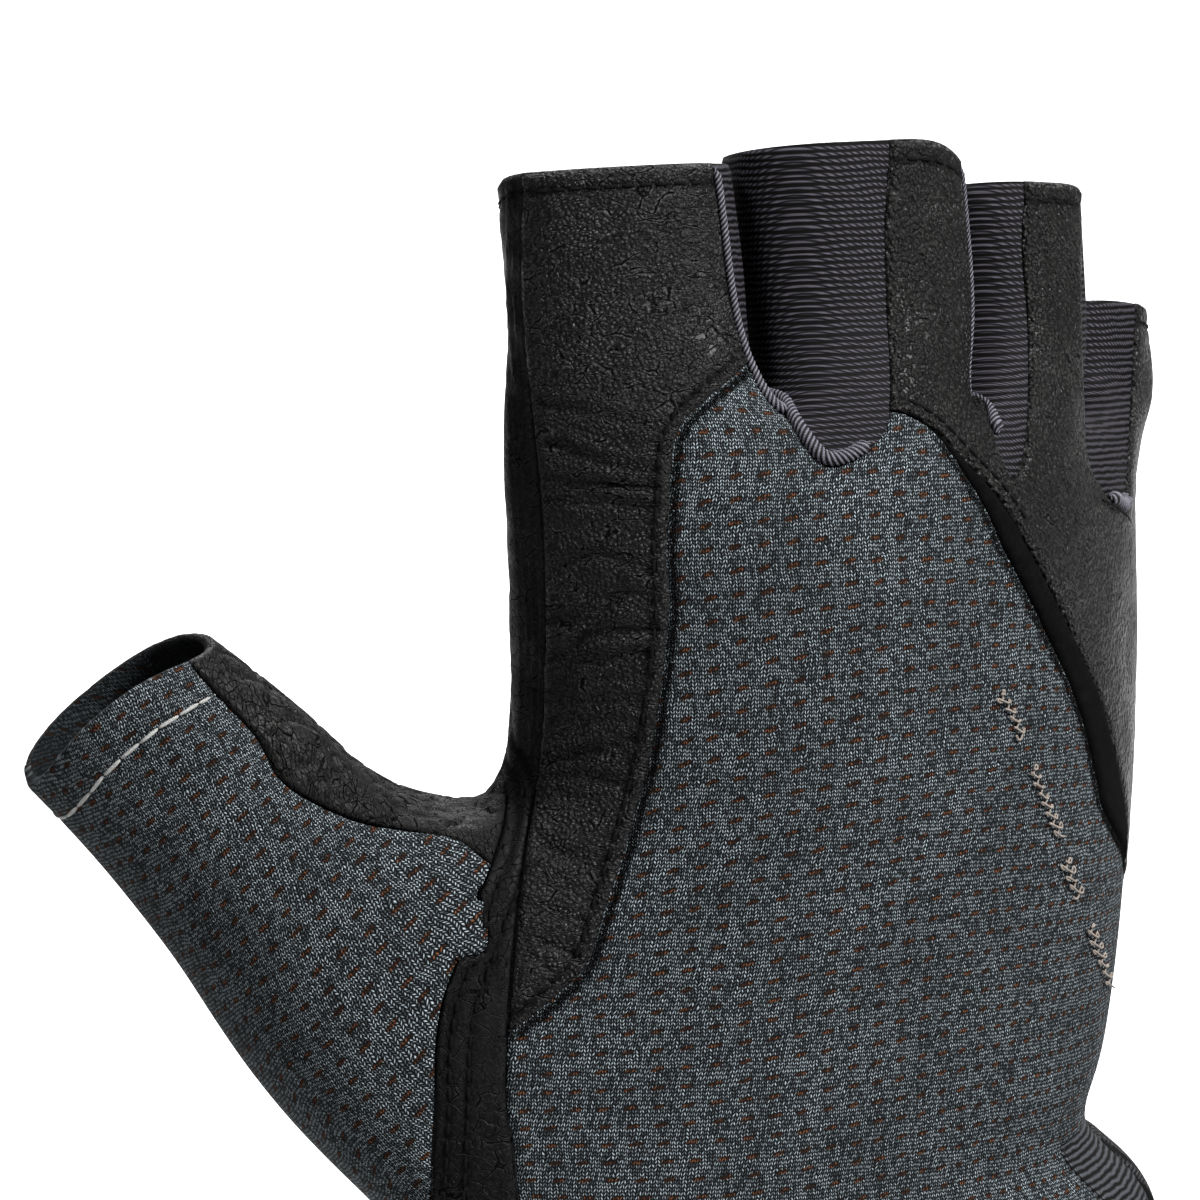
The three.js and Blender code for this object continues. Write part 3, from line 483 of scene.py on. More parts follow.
print("cage")
cagePoints, cageFacts, cageCells, handTable, crotchLines = buildCage()
cageNormals = normalsOf(cagePoints, splitQuads(cagePoints, cageCells), 2)
cageFacing = cageNormals @ chartToward


def cageChannels():
    count = len(cageFacts)
    names = ["s", "t", "away", "palm", "wall0", "wall1", "wall2", "open", "next0", "next1", "next2",
             "noThumb", "thumbTube", "wrap", "thumbS", "thumbT", "gusset"]
    data = {n: np.zeros(count) for n in names}
    # cloth lengths over the back, along each row from the middle and up each column
    half = 2 * fingerCols
    for i, row in enumerate(handTable):
        for step in (1, -1):
            total, before = 0.0, row[half]
            for k in range(1, half + edgeCols + 3):
                v = row[(half + step * k) % handCols]
                if v < 0 or before < 0:
                    break
                total += float(np.linalg.norm(cagePoints[v] - cagePoints[before]))
                data["s"][v] = step * total
                before = v
    for k in range(handCols):
        total, before = 0.0, None
        for i in range(len(handTable)):
            v = handTable[i][k]
            if v < 0:
                before = None
                total = rowHeights[i]
                continue
            if before is not None:
                total += float(np.linalg.norm(cagePoints[v] - cagePoints[before]))
            data["t"][v] = total
            before = v
    for line in crotchLines:
        for n, v in enumerate(line[1:-1], 1):
            data["s"][v] = data["s"][line[0]]
            data["t"][v] = data["t"][line[0]] + float(np.linalg.norm(cagePoints[v] - cagePoints[line[0]]))
    for v, fact in enumerate(cageFacts):
        if fact["zone"] == "thumb":  # the hand's cloth lengths run on over the root of the thumb
            root = fact["root"]
            row, col = cageFacts[root]["row"], cageFacts[root]["col"]
            beside = handTable[row][(col + 1) % handCols]
            above = handTable[row + 1][col]
            beside = handTable[row][(col - 1) % handCols] if beside < 0 else beside
            above = handTable[row - 1][col] if above < 0 else above
            offset = cagePoints[v] - cagePoints[root]
            across, up = cagePoints[beside] - cagePoints[root], cagePoints[above] - cagePoints[root]
            sStep, tStep = data["s"][beside] - data["s"][root], data["t"][above] - data["t"][root]
            data["s"][v] = data["s"][root] + offset.dot(across) / across.dot(across) * sStep
            data["t"][v] = data["t"][root] + offset.dot(up) / up.dot(up) * tStep
    for v, fact in enumerate(cageFacts):
        zone, col, row = fact["zone"], fact["col"], fact["row"]
        x, y, z = cagePoints[v]
        stall = int(zone[5:]) if zone.startswith("stall") else -1
        data["away"][v] = fact["away"]
        width = seams["colWidth"]
        if stall >= 0:
            base = handTable[-1][min(stall * fingerCols + min(col, fingerCols), 4 * fingerCols)]
            if col >= fingerCols + edgeCols:
                beforeEdge = max(0, 2 * fingerCols + edgeCols - col)
                base = handTable[-1][8 * fingerCols + edgeCols - stall * fingerCols - beforeEdge]
            data["s"][v] = data["s"][base]
            data["t"][v] = data["t"][base] + float(np.linalg.norm(cagePoints[v] - cagePoints[base]))
            start = fingerCols + (seams["ulnar"][1][1] if stall == 3 else edgeCols - seams["palmAt"])
            end = 2 * fingerCols + edgeCols + (seams["radialAt"] if stall == 0 else seams["palmAt"])
            data["palm"][v] = min(col - start, end - col) * width
        elif zone == "crotch":
            data["palm"][v] = (col - (edgeCols - seams["palmAt"])) * width
        elif zone == "thumb":
            data["palm"][v] = -20 * cageFacing[v]
        else:
            start = 4 * fingerCols + linearAt(seams["ulnar"], z)
            end = 8 * fingerCols + edgeCols + seams["radialAt"]
            inside = min(col - start, end - col) * width
            if row == len(rowHeights) - 1 and col > start:
                inside = min(inside, seams["palmAt"] * width)
            data["palm"][v] = inside
        chartSpot = toChart(cagePoints[v][None])
        for n, wall in enumerate(sideWalls):
            value = -10.0
            if zone == "crotch":
                value = (col + 0.6) * width if row == wall["stall"] + 1 else -10.0
            elif stall == wall["stall"] and col <= fingerCols + edgeCols:
                value = (col - fingerCols - seams["sideWallStart"]) * width
            elif zone == "hand" and cageFacing[v] > 0:
                value = min(-1.0, float(insideOutline(wall["outline"], chartSpot)[0]))
            data["wall%d" % n][v] = value
            data["next%d" % n][v] = 1.0 if stall == wall["stall"] + 1 else 0.0
        data["open"][v] = 1.0 if zone in ("hand",) and cageFacing[v] >= 0 or stall >= 0 else 0.0
        data["noThumb"][v] = 1.0 if stall >= 0 or zone == "crotch" else 0.0
        data["thumbTube"][v] = 1.0 if zone == "thumb" and row >= 6 else 0.0
        angle = col if zone == "thumb" else fact.get("ringAngle", 0.0)
        degrees = math.degrees(angle) % 360
        data["wrap"][v] = (
            (seams["thumbWrap"] - degrees) * 0.25 if zone == "thumb" else (cageFacing[v] + 0.2) * 15
        )
        data["thumbS"][v] = angle * 15.5
        data["thumbT"][v] = thumbLength - fact["along"]
        data["gusset"][v] = (col - 4 * fingerCols - seams["gussetFrom"]) * width if zone == "hand" else -10
    return names, np.stack([data[n] for n in names], axis=1)


def toChart(points):
    q = points - chartTarget
    scale = chart["distance"] / (chart["distance"] - q @ chartToward)
    return np.stack([(q @ chartRight) * scale, (q @ chartUp) * scale], axis=1)


def smoothLine(line, step=1.0):
    p = np.array(line, float)
    p = np.concatenate([[2 * p[0] - p[1]], p, [2 * p[-1] - p[-2]]])
    out = []
    for i in range(1, len(p) - 2):
        a, b, c, d = p[i - 1], p[i], p[i + 1], p[i + 2]
        ta, tb, tc = (max(np.linalg.norm(y - x), 1e-6) ** 0.5 for x, y in ((a, b), (b, c), (c, d)))
        m1 = (c - b) - tb * ((c - a) / (ta + tb) - (b - a) / ta)
        m2 = (c - b) + tb * ((d - c) / tc - (d - b) / (tb + tc))
        count = max(1, int(np.linalg.norm(c - b) / step))
        for s in np.arange(count) / count:
            out.append(
                (2 * s**3 - 3 * s**2 + 1) * b + (s**3 - 2 * s**2 + s) * m1
                + (3 * s**2 - 2 * s**3) * c + (s**3 - s**2) * m2
            )
    out.append(p[-2])
    return np.array(out)


def segmentGaps(line, spots):
    a, b = line[:-1], line[1:]
    d = b - a
    best = np.full(len(spots), np.inf)
    sign = np.ones(len(spots))
    for i in range(len(d)):
        q = spots - a[i]
        s = np.clip((q @ d[i]) / max(d[i] @ d[i], 1e-12), 0, 1)
        gap = np.hypot(q[:, 0] - s * d[i][0], q[:, 1] - s * d[i][1])
        turn = q[:, 0] * d[i][1] - q[:, 1] * d[i][0]
        nearer = (gap < best - 1e-9) | ((gap < best + 1e-9) & (np.abs(turn) > 1e-9) & (s > 0))
        best = np.where(nearer, gap, best)
        sign = np.where(nearer, np.where(turn >= 0, 1.0, -1.0), sign)
    return best, sign


def besideLine(line, spots):
    best, sign = segmentGaps(smoothLine(line), spots)
    return best * sign


def insideOutline(outline, spots):
    line = smoothLine(outline)
    best, _ = segmentGaps(np.concatenate([line, line[:1]]), spots)
    inside = np.zeros(len(spots), bool)
    u, v = spots[:, 0], spots[:, 1]
    for (au, av), (bu, bv) in zip(np.roll(line, 1, axis=0), line):
        if av == bv:
            continue
        inside ^= ((av > v) != (bv > v)) & (u < (bu - au) * (v - av) / (bv - av) + au)
    return np.where(inside, best, -best)


channelNames, cageData = cageChannels()
values, quads = np.concatenate([cagePoints, cageData], axis=1), cageCells
start = values[:, :3].copy()
for _ in range(2):  # the smooth skin passes through the grid's own points
    level, faces = values, quads
    for _ in range(2):
        level, faces = subdivide(level, faces)
    values[:, :3] += start - level[: len(start), :3]
for _ in range(grid["levels"]):
    values, quads = subdivide(values, quads)
skinPoints = values[:, :3]
skin = {n: values[:, 3 + i] for i, n in enumerate(channelNames)}
skinTriangles = splitQuads(skinPoints, quads)
skinNormals = normalsOf(skinPoints, skinTriangles, 1)
wallNormals = normalsOf(skinPoints, skinTriangles, 14)
skinChart = toChart(skinPoints)
skinFacing = skinNormals @ chartToward
print("skin", len(skinPoints), "points")

share = np.clip(0.5 + skinFacing / 0.4, 0, 1)


def mixed(a, b):
    return a * (1 - share) + b * share


def knuckleField():
    return mixed(skinPoints[:, 2] - seams["knuckleSide"], -besideLine(knuckleEdge, skinChart))


thumbReach = {"x": -40, "z": 60, "on": 20, "off": -30}  # the thumb lies beyond x and above z


def thumbField():
    value = mixed(besideLine(thumbPalmSeam, skinPoints[:, [0, 2]]), besideLine(thumbJoint, skinChart))
    farOut = (skinPoints[:, 0] < thumbReach["x"]) & (skinPoints[:, 2] > thumbReach["z"])
    value = np.where((skin["thumbTube"] > 0.5) | farOut, thumbReach["on"], value)
    return np.where(skin["noThumb"] > 0.5, thumbReach["off"], value)


def wallField(n):
    wall = sideWalls[n]
    seen = insideOutline(wall["outline"], skinChart)
    value = np.where(skin["open"] > 0.5, seen, -10)
    value = np.maximum(value, skin["wall%d" % n])
    beyond = np.where(skin["next%d" % n] > 0.5, wall["middle"] - skinChart[:, 0], -10)
    return np.maximum(value, beyond)


fields = {
    "thumb": thumbField(),
    "thumbMesh": np.minimum(besideLine(thumbMeshEdge, skinChart), skin["wrap"]),
    "palm": skin["palm"],
    "knuckle": knuckleField(),
    "indexBack": besideLine(indexTailEdge, skinChart),
    "strip": besideLine(indexStripSeam, skinChart),
    "cuff": seams["cuffTop"] - skinPoints[:, 2],
    "gusset": np.minimum(skin["gusset"], seams["cuffTop"] + 3 - skinPoints[:, 2]),
    "wall0": wallField(0),
    "wall1": wallField(1),
    "wall2": wallField(2),
}
trimRoom = np.minimum(skinChart[:, 0] - seams["trimStart"], skinChart[:, 1] - seams["trimEnd"])
fields["trim"] = fields["knuckle"] + np.minimum(seams["trimWidth"], trimRoom * seams["trimTaper"])


def toDistances(value):
    a, b, c = (skinPoints[skinTriangles[:, k]] for k in range(3))
    e1, e2 = b - a, c - a
    normal = np.cross(e1, e2)
    double = np.maximum(np.linalg.norm(normal, axis=1), 1e-12)
    va, vb, vc = (value[skinTriangles[:, k]] for k in range(3))
    gradient = (np.cross(e2, normal) * (vb - va)[:, None] + np.cross(normal, e1) * (vc - va)[:, None])
    slope = np.linalg.norm(gradient, axis=1) / double**2
    total, weight = np.zeros(len(skinPoints)), np.zeros(len(skinPoints))
    for k in range(3):
        np.add.at(total, skinTriangles[:, k], slope * double)
        np.add.at(weight, skinTriangles[:, k], double)
    return value / np.clip(total / weight, 0.5, 4)


fieldNames = list(fields)
columns = ["x", "y", "z", "nx", "ny", "nz", "wx", "wy", "wz", "u", "v", "s", "t",
           "thumbS", "thumbT", "away", "facing"]
skinData = np.concatenate(
    [skinPoints, skinNormals, wallNormals, skinChart]
    + [skin[n][:, None] for n in ("s", "t", "thumbS", "thumbT", "away")]
    + [skinFacing[:, None]]
    + [toDistances(fields[n])[:, None] for n in fieldNames],
    axis=1,
)
at = {n: i for i, n in enumerate(columns + fieldNames)}
print("seam fields")


def cutPatch(data, triangles, depth):
    depth = np.where(np.abs(depth) < 0.02, 0, depth)
    signs = np.sign(depth)[triangles]
    whole = triangles[(signs >= 0).all(1) & (signs > 0).any(1)]
    crossed = triangles[(signs > 0).any(1) & (signs < 0).any(1)]
    fresh, made, extra = {}, [], []

    def cut(a, b):
        key = (a, b) if a < b else (b, a)
        if key not in fresh:
            w = depth[key[0]] / (depth[key[0]] - depth[key[1]])
            fresh[key] = len(data) + len(made)
            made.append(data[key[0]] * (1 - w) + data[key[1]] * w)
        return fresh[key]

    for triangle in crossed.tolist():
        loop = []
        for i in range(3):
            a, b = triangle[i], triangle[(i + 1) % 3]
            if depth[a] >= 0:
                loop.append(a)
            if depth[a] * depth[b] < 0:
                loop.append(cut(a, b))
        extra += [(loop[0], loop[i], loop[i + 1]) for i in range(1, len(loop) - 1)]
    if made:
        data = np.concatenate([data, np.array(made)])
    if extra:
        whole = np.concatenate([whole, np.array(extra)])
    return data, whole


def tidyPatch(data, triangles):
    used, inverse = np.unique(triangles, return_inverse=True)
    data, triangles = data[used], inverse.reshape(-1, 3)
    label = np.arange(len(data))
    while True:
        low = label[triangles].min(1)
        fresh = label.copy()
        np.minimum.at(fresh, triangles.reshape(-1), np.repeat(low, 3))
        fresh = fresh[fresh]
        if (fresh == label).all():
            break
        label = fresh
    groups, counts = np.unique(label[triangles[:, 0]], return_counts=True)
    triangles = triangles[label[triangles[:, 0]] == groups[counts.argmax()]]
    used, inverse = np.unique(triangles, return_inverse=True)
    return data[used], inverse.reshape(-1, 3)


def cutPanel(cuts, usualGap):
    data, triangles = skinData, skinTriangles
    cuts = [(*cut, usualGap)[:3] for cut in cuts]
    for name, side, gap in cuts:
        data, triangles = cutPatch(data, triangles, side * data[:, at[name]] - gap)
        used, inverse = np.unique(triangles, return_inverse=True)
        data, triangles = data[used], inverse.reshape(-1, 3)
    data, triangles = tidyPatch(data, triangles)
    edge = np.min([side * data[:, at[name]] - gap for name, side, gap in cuts], axis=0)
    return data, triangles, np.maximum(edge, 0)


# small helpers for shapes
def hashNoise(points, seed):
    base = np.floor(points).astype(np.int64)
    f = points - base
    f = f * f * (3 - 2 * f)
    total = 0
    for corner in range(2 ** points.shape[1]):
        bits = [(corner >> k) & 1 for k in range(points.shape[1])]
        cell = base + bits
        h = seed * 374761393
        for k in range(points.shape[1]):
            h = h + cell[:, k] * (668265263, 2246822519, 3266489917)[k]
        h = (h ^ (h >> 13)) * 1274126177
        h = (h ^ (h >> 16)) & 0xFFFF
        weight = np.prod([f[:, k] if bits[k] else 1 - f[:, k] for k in range(points.shape[1])], axis=0)
        total = total + weight * (h / 32767.5 - 1)
    return total


def meshPiece(name, points, faces, materials, replaced=(), maps=None, marks=None, which=None):
    mesh = bpy.data.meshes.new(name)
    faces = faces if isinstance(faces, list) else faces.tolist()
    mesh.from_pydata((np.asarray(points) * mm).tolist(), [], faces)
    for material in materials:
        mesh.materials.append(material)
    mesh.polygons.foreach_set("use_smooth", [True] * len(mesh.polygons))
    if which is not None:
        mesh.polygons.foreach_set("material_index", which)
    for key, uv in (maps or {}).items():
        layer = mesh.uv_layers.new(name=key)
        loops = np.zeros(len(mesh.loops), np.int32)
        mesh.loops.foreach_get("vertex_index", loops)
        layer.data.foreach_set("uv", np.asarray(uv, float)[loops].reshape(-1))
    for key, value in (marks or {}).items():
        mesh.attributes.new(key, "FLOAT", "POINT").data.foreach_set("value", np.asarray(value, np.float32))
    mesh.validate()
    mesh.update()
    piece = bpy.data.objects.new(name, mesh)
    bpy.context.scene.collection.objects.link(piece)
    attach(piece, "root")
    if replaced:
        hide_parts(*replaced)
    return piece


def sweep(path, radius, sides=6, ridge=0.0):
    path = np.asarray(path, float)
    n = len(path)
    radius = np.broadcast_to(radius, n)
    ridge = np.broadcast_to(ridge, (n, sides))
    tangent = np.gradient(path, axis=0)
    tangent /= np.maximum(np.linalg.norm(tangent, axis=1, keepdims=True), 1e-9)
    side = np.cross(tangent[0], (0.3, 0.5, 0.8))
    frames = []
    for k in range(n):
        side = side - tangent[k] * side.dot(tangent[k])
        side = side / max(np.linalg.norm(side), 1e-9)
        frames.append((side, np.cross(tangent[k], side)))
    angles = np.arange(sides) * 2 * math.pi / sides
    rings = []
    for k in range(n):
        a, b = frames[k]
        r = radius[k] * (1 + ridge[k])
        rings.append(path[k] + np.outer(np.cos(angles) * r, a) + np.outer(np.sin(angles) * r, b))
    points = np.concatenate(rings + [path[:1], path[-1:]])
    faces = []
    for k in range(n - 1):
        for i in range(sides):
            j = (i + 1) % sides
            faces.append((k * sides + i, k * sides + j, (k + 1) * sides + j, (k + 1) * sides + i))
    for i in range(sides):
        j = (i + 1) % sides
        faces.append((n * sides, j, i, i))
        faces.append((n * sides + 1, (n - 1) * sides + i, (n - 1) * sides + j, (n - 1) * sides + j))
    return points, [tuple(dict.fromkeys(f)) for f in faces]


def joined(parts):
    points, faces, count = [], [], 0
    for p, f in parts:
        points.append(p)
        faces += [tuple(i + count for i in face) for face in f]
        count += len(p)
    return np.concatenate(points), faces


def stepsOf(line):
    return np.linalg.norm(np.diff(line[:, :3], axis=0), axis=1)


def distanceAlong(line):
    return np.concatenate([[0], np.cumsum(stepsOf(line))])


def eased(line, passes):  # smooths a line in place, its ends kept
    for _ in range(passes):
        line[1:-1] = (line[:-2] + 2 * line[1:-1] + line[2:]) / 4
    return line


def resample(line, pitch):
    line = np.asarray(line, float)
    keep = np.concatenate([[True], stepsOf(line) > 1e-6])
    line = line[keep]
    length = distanceAlong(line)
    count = max(2, int(round(length[-1] / pitch)) + 1)
    spots = np.linspace(0, length[-1], count)
    return np.stack([np.interp(spots, length, line[:, c]) for c in range(line.shape[1])], axis=1)


def contours(rows, triangles, level, shortest=4.0):
    sign = level > 0
    crossed = triangles[sign[triangles].any(1) & ~sign[triangles].all(1)]
    spots, links = {}, {}
    for triangle in crossed.tolist():
        ends = []
        for i in range(3):
            a, b = triangle[i], triangle[(i + 1) % 3]
            if sign[a] != sign[b]:
                key = (a, b) if a < b else (b, a)
                if key not in spots:
                    w = level[key[0]] / (level[key[0]] - level[key[1]])
                    spots[key] = rows[key[0]] * (1 - w) + rows[key[1]] * w
                ends.append(key)
        links.setdefault(ends[0], []).append(ends[1])
        links.setdefault(ends[1], []).append(ends[0])
    lines, seen = [], set()
    for first in sorted(links, key=lambda k: (len(links[k]) != 1, k)):
        if first in seen:
            continue
        line, here = [], first
        while here is not None:
            seen.add(here)
            line.append(spots[here])
            here = next((k for k in links[here] if k not in seen), None)
        line = np.array(line)
        if len(line) > 3 and stepsOf(line).sum() > shortest:
            lines.append(eased(line, 4))
    return lines


# places along a stitch, from end to end, with the share of the thread's radius there
stitchTaper = [(-0.5, 0.35), (-0.42, 0.8), (-0.2, 1), (0.2, 1), (0.42, 0.8), (0.5, 0.35)]
stitchSink = 0.45  # how far a stitch stands out, as a share of its radius


def stitchRow(line, pitch, length, radius, lift=0.0, dip=0.18):
    spots = resample(line, pitch)
    parts = []
    for k in range(len(spots) - 1):
        a, b = spots[k], spots[k + 1]
        middle, along = (a[:3] + b[:3]) / 2, unit(b[:3] - a[:3])
        normal = unit(a[3:6] + b[3:6])
        side = np.cross(normal, along)
        lean = 0.10 * math.sin(k * 2.4)
        path = []
        for f, _ in stitchTaper:
            drop = dip * (abs(f) * 2) ** 4
            place = middle + along * f * length + side * lean * f
            path.append(place + normal * (lift + radius * stitchSink - drop))
        parts.append(sweep(path, [radius * share for _, share in stitchTaper], 6))
    return parts


# finishes
def newMaterial(name):
    material = bpy.data.materials.new(name)
    material.use_nodes = True
    tree = material.node_tree
    tree.nodes.clear()
    output = tree.nodes.new("ShaderNodeOutputMaterial")
    shader = tree.nodes.new("ShaderNodeBsdfPrincipled")
    tree.links.new(shader.outputs[0], output.inputs[0])
    return material, tree, shader


def connect(tree, socket, value):
    if isinstance(value, Signal):
        tree.links.new(value.socket, socket)
    else:
        socket.default_value = value


def put(tree, kind, inputs, output=0, **settings):
    node = tree.nodes.new("ShaderNode" + kind)
    for key, value in settings.items():
        setattr(node, key, value)
    for key, value in inputs.items():
        connect(tree, node.inputs[key], value)
    return Signal(tree, node.outputs[output])


class Signal:  # a node's output; its sums and products are Math nodes
    def __init__(self, tree, socket):
        self.tree = tree
        self.socket = socket

    def math(self, operation, other=0.0):
        return put(self.tree, "Math", {0: self, 1: other}, operation=operation)

    def __add__(self, other):
        return self.math("ADD", other)

    def __sub__(self, other):
        return self.math("SUBTRACT", other)

    def __rsub__(self, other):
        return put(self.tree, "Math", {0: other, 1: self}, operation="SUBTRACT")

    def __mul__(self, other):
        return self.math("MULTIPLY", other)

    def __truediv__(self, other):
        return self.math("DIVIDE", other)

    def __pow__(self, other):
        return self.math("POWER", other)

    def size(self):
        return self.math("ABSOLUTE")

    def offMiddle(self):  # how far its fraction lies from one half
        return (self.math("FRACT") - 0.5).size()

    def ramp(self, low, high, toLow=0.0, toHigh=1.0):
        spans = {"Value": self, "From Min": low, "From Max": high, "To Min": toLow, "To Max": toHigh}
        return put(self.tree, "MapRange", spans, "Result", interpolation_type="SMOOTHSTEP")

    def axis(self, k):
        return put(self.tree, "SeparateXYZ", {0: self}, k)

    def noise(self, scale, detail, output="Fac", flat=False, roughness=0.5):
        inputs = {"Vector": self, "Scale": scale, "Detail": detail, "Roughness": roughness}
        return put(self.tree, "TexNoise", inputs, output, noise_dimensions="2D" if flat else "3D")

    def between(self, a, b):  # a colour from a to b
        return put(self.tree, "Mix", {"Factor": self, 6: a, 7: b}, 2, data_type="RGBA")


def over(tree, name):
    return put(tree, "UVMap", {}, uv_map=name)


def marked(tree, name):
    return put(tree, "Attribute", {}, "Fac", attribute_name=name)


def inMillimetres(tree):
    where = put(tree, "TexCoord", {}, "Object")
    return put(tree, "Mapping", {"Vector": where, "Scale": (1 / mm, 1 / mm, 1 / mm)})


def bumped(tree, shader, layers):
    normal = None
    for height, distance, strength in layers:
        inputs = {"Height": height, "Distance": distance * mm, "Strength": strength}
        if normal is not None:
            inputs["Normal"] = normal
        normal = put(tree, "Bump", inputs)
    connect(tree, shader.inputs["Normal"], normal)


def surface(tree, shader, colour, roughness, specular, layers):
    connect(tree, shader.inputs["Base Color"], colour)
    connect(tree, shader.inputs["Roughness"], roughness)
    connect(tree, shader.inputs["Specular IOR Level"], specular)
    bumped(tree, shader, layers)


def rgba(r, g, b):
    return (r, g, b, 1.0)


# the knit's rows and columns of openings over the cloth lengths: terms in a = (s - s0) / width and
# b = (t - t0) / height, in the order 1, a, b, aa, ab, bb, aaa, aab, abb, bbb
openingRows = {
    "hand": {"from": (0, 70), "span": (40, 50),
             "across": (6.842, 13.226, 1.037, 2.935, -0.044, -1.535, 1.523, -0.025, 0.05, 1.013),
             "up": (-9.096, 0.377, 20.118, 0.982, 1.713, -0.426, -0.161, 1.616, 1.925, 0.506)},
    "thumb": {"from": (20, 30), "span": (30, 30),
              "across": (2.913, -9.41, 2.075, -1.391, -0.507, -0.367),
              "up": (1.743, -1.218, -12.571, 2.263, 1.996, -0.562)},
}


def openingsOver(name, s, t):
    rows = openingRows[name]
    a, b = (s - rows["from"][0]) / rows["span"][0], (t - rows["from"][1]) / rows["span"][1]
    terms = [1, a, b, a * a, a * b, b * b, a**3, a * a * b, a * b * b, b**3]
    return np.stack([sum(k * term for k, term in zip(rows[way], terms)) for way in ("across", "up")], axis=1)


# wale and course are the pitch of the loops in mm; holeSize is a share of the pitch of the openings
# between is the colour of painted shade in the gaps between the loops
knitLook = {
    "wale": 0.62, "course": 0.47, "holeSize": (0.48, 0.24), "holeSlant": 0.26,
    "thread": rgba(0.300, 0.350, 0.380), "between": rgba(0.0012, 0.0016, 0.0020),
    # the hollow colour here is painted shade deep in the openings, behind the brown backing thread
    "brown": rgba(0.125, 0.047, 0.019), "holeShade": rgba(0.003, 0.0018, 0.0015),
    "roughness": 0.82, "specular": 0.06, "depth": 0.28, "holeDepth": 1.6,
}
# a shaded copy of the knit for inner faces: the same threads painted darker as painted shade inside the glove
shadedKnitLook = {**knitLook, "thread": rgba(0.055, 0.068, 0.075), "brown": rgba(0.030, 0.012, 0.006)}


def knitMaterial(name, look):
    material, tree, shader = newMaterial(name)
    cloth = over(tree, "cloth")
    drift = cloth.noise(0.35, 2.0, flat=True) - 0.5
    fuzz = cloth.noise(5.0, 3.0, flat=True)
    # two slanted legs to each wale, and a loop to each course
    wale = (cloth.axis(0) + drift * 0.9) / look["wale"]
    fromMiddle = wale.offMiddle()
    leg = (fromMiddle * 4.0 - 1.0).size().ramp(0.86, 0.22)
    course = (cloth.axis(1) + drift * 0.6) / look["course"] - fromMiddle * 1.9
    thread = leg * course.offMiddle().ramp(0.42, 0.08)
    cell = put(tree, "CombineXYZ", {0: (wale * 2.0).math("FLOOR"), 1: course.math("FLOOR")})
    chance = put(tree, "TexWhiteNoise", {"Vector": cell}, "Value", noise_dimensions="2D")
    # rows of small openings with the brown backing thread showing
    openings = over(tree, "openings")
    cellX = (openings.axis(0) + (drift * 0.25 + 0.5)).math("FRACT") - 0.5
    cellY = (openings.axis(1) + 0.5).math("FRACT") - 0.5
    cellY = cellY - cellX * look["holeSlant"]
    farX = (cellX * (2 / look["holeSize"][0])).size()
    farY = (cellY * (2 / look["holeSize"][1])).size()
    far = farX**3.0 + farY**2.4
    hole = (far + (fuzz - 0.5) * 0.9).ramp(1.15, 0.75)
    # painted light and shade: each thread is lighter along its middle and falls to the between colour in the
    # gaps
    lit = thread**1.25 * chance.ramp(0.0, 1.0, 0.14, 1.15) * fuzz.ramp(0.25, 0.75, 0.75, 1.2)
    face = lit.between(look["between"], look["thread"])
    face = cloth.noise(0.09, 2.0, flat=True).ramp(0.3, 0.7, 0.0, 0.22).between(face, look["between"])
    threads = thread**1.5 * chance.ramp(0.1, 0.9, 0.15, 1.0)
    # painted shade: each opening goes from the brown thread at its middle to the hollow colour at its rim
    inside = (threads * far.ramp(1.1, 0.3)).between(look["holeShade"], look["brown"])
    deep = thread * (1.0 - hole) - hole * look["holeDepth"]
    surface(tree, shader, hole.between(face, inside), look["roughness"], look["specular"],
            [(deep, look["depth"], 0.85)])
    return material


# creases: cells per mm along the axes, half width of a line in cells, depth in mm
# rim is the colour of a painted highlight along the lips of the strong creases
leatherLook = {
    "colour": rgba(0.0032, 0.0032, 0.0033), "worn": rgba(0.0150, 0.0150, 0.0147),
    "rim": rgba(0.060, 0.060, 0.058), "pebble": 0.50, "pebbleDepth": 0.22,
    "creases": [((0.20, 0.20, 0.72), 0.045, 0.42), ((0.62, 0.62, 1.50), 0.08, 0.20)],
    "bend": 2.6, "roughness": (0.36, 0.54), "specular": 0.095,
}
knuckleLook = {
    "colour": rgba(0.0036, 0.0036, 0.0035), "worn": rgba(0.0170, 0.0167, 0.0160),
    "rim": rgba(0.030, 0.030, 0.029), "pebble": 0.66, "pebbleDepth": 0.50,
    "creases": [((0.40, 0.40, 0.50), 0.030, 0.08), ((1.2, 1.2, 1.4), 0.08, 0.12)],
    "bend": 1.2, "roughness": (0.34, 0.48), "specular": 0.095,
}
thumbLook = {
    "colour": rgba(0.0036, 0.0035, 0.0035), "worn": rgba(0.0130, 0.0127, 0.0122),
    "rim": rgba(0.034, 0.033, 0.032), "pebble": 0.55, "pebbleDepth": 0.04,
    "creases": [((0.60, 0.60, 0.18), 0.050, 0.34), ((1.7, 1.7, 0.40), 0.09, 0.20)],
    "bend": 1.6, "roughness": (0.42, 0.62), "specular": 0.06,
}
stripLook = {
    "colour": rgba(0.0026, 0.0026, 0.0027), "worn": rgba(0.0080, 0.0080, 0.0080),
    "rim": rgba(0.020, 0.020, 0.020), "pebble": 0.6, "pebbleDepth": 0.04,
    "creases": [((0.35, 0.35, 0.60), 0.040, 0.20), ((1.2, 1.2, 0.9), 0.06, 0.14)],
    "bend": 2.0, "roughness": (0.42, 0.60), "specular": 0.06,
}
creaseSpans = ((0.30, 0.55), (0.70, 0.42))  # where the strong and the fine creases fade in
# the crease colour is painted shade laid into the crease lines
creaseShadeColour = rgba(0.0012, 0.0012, 0.0013)


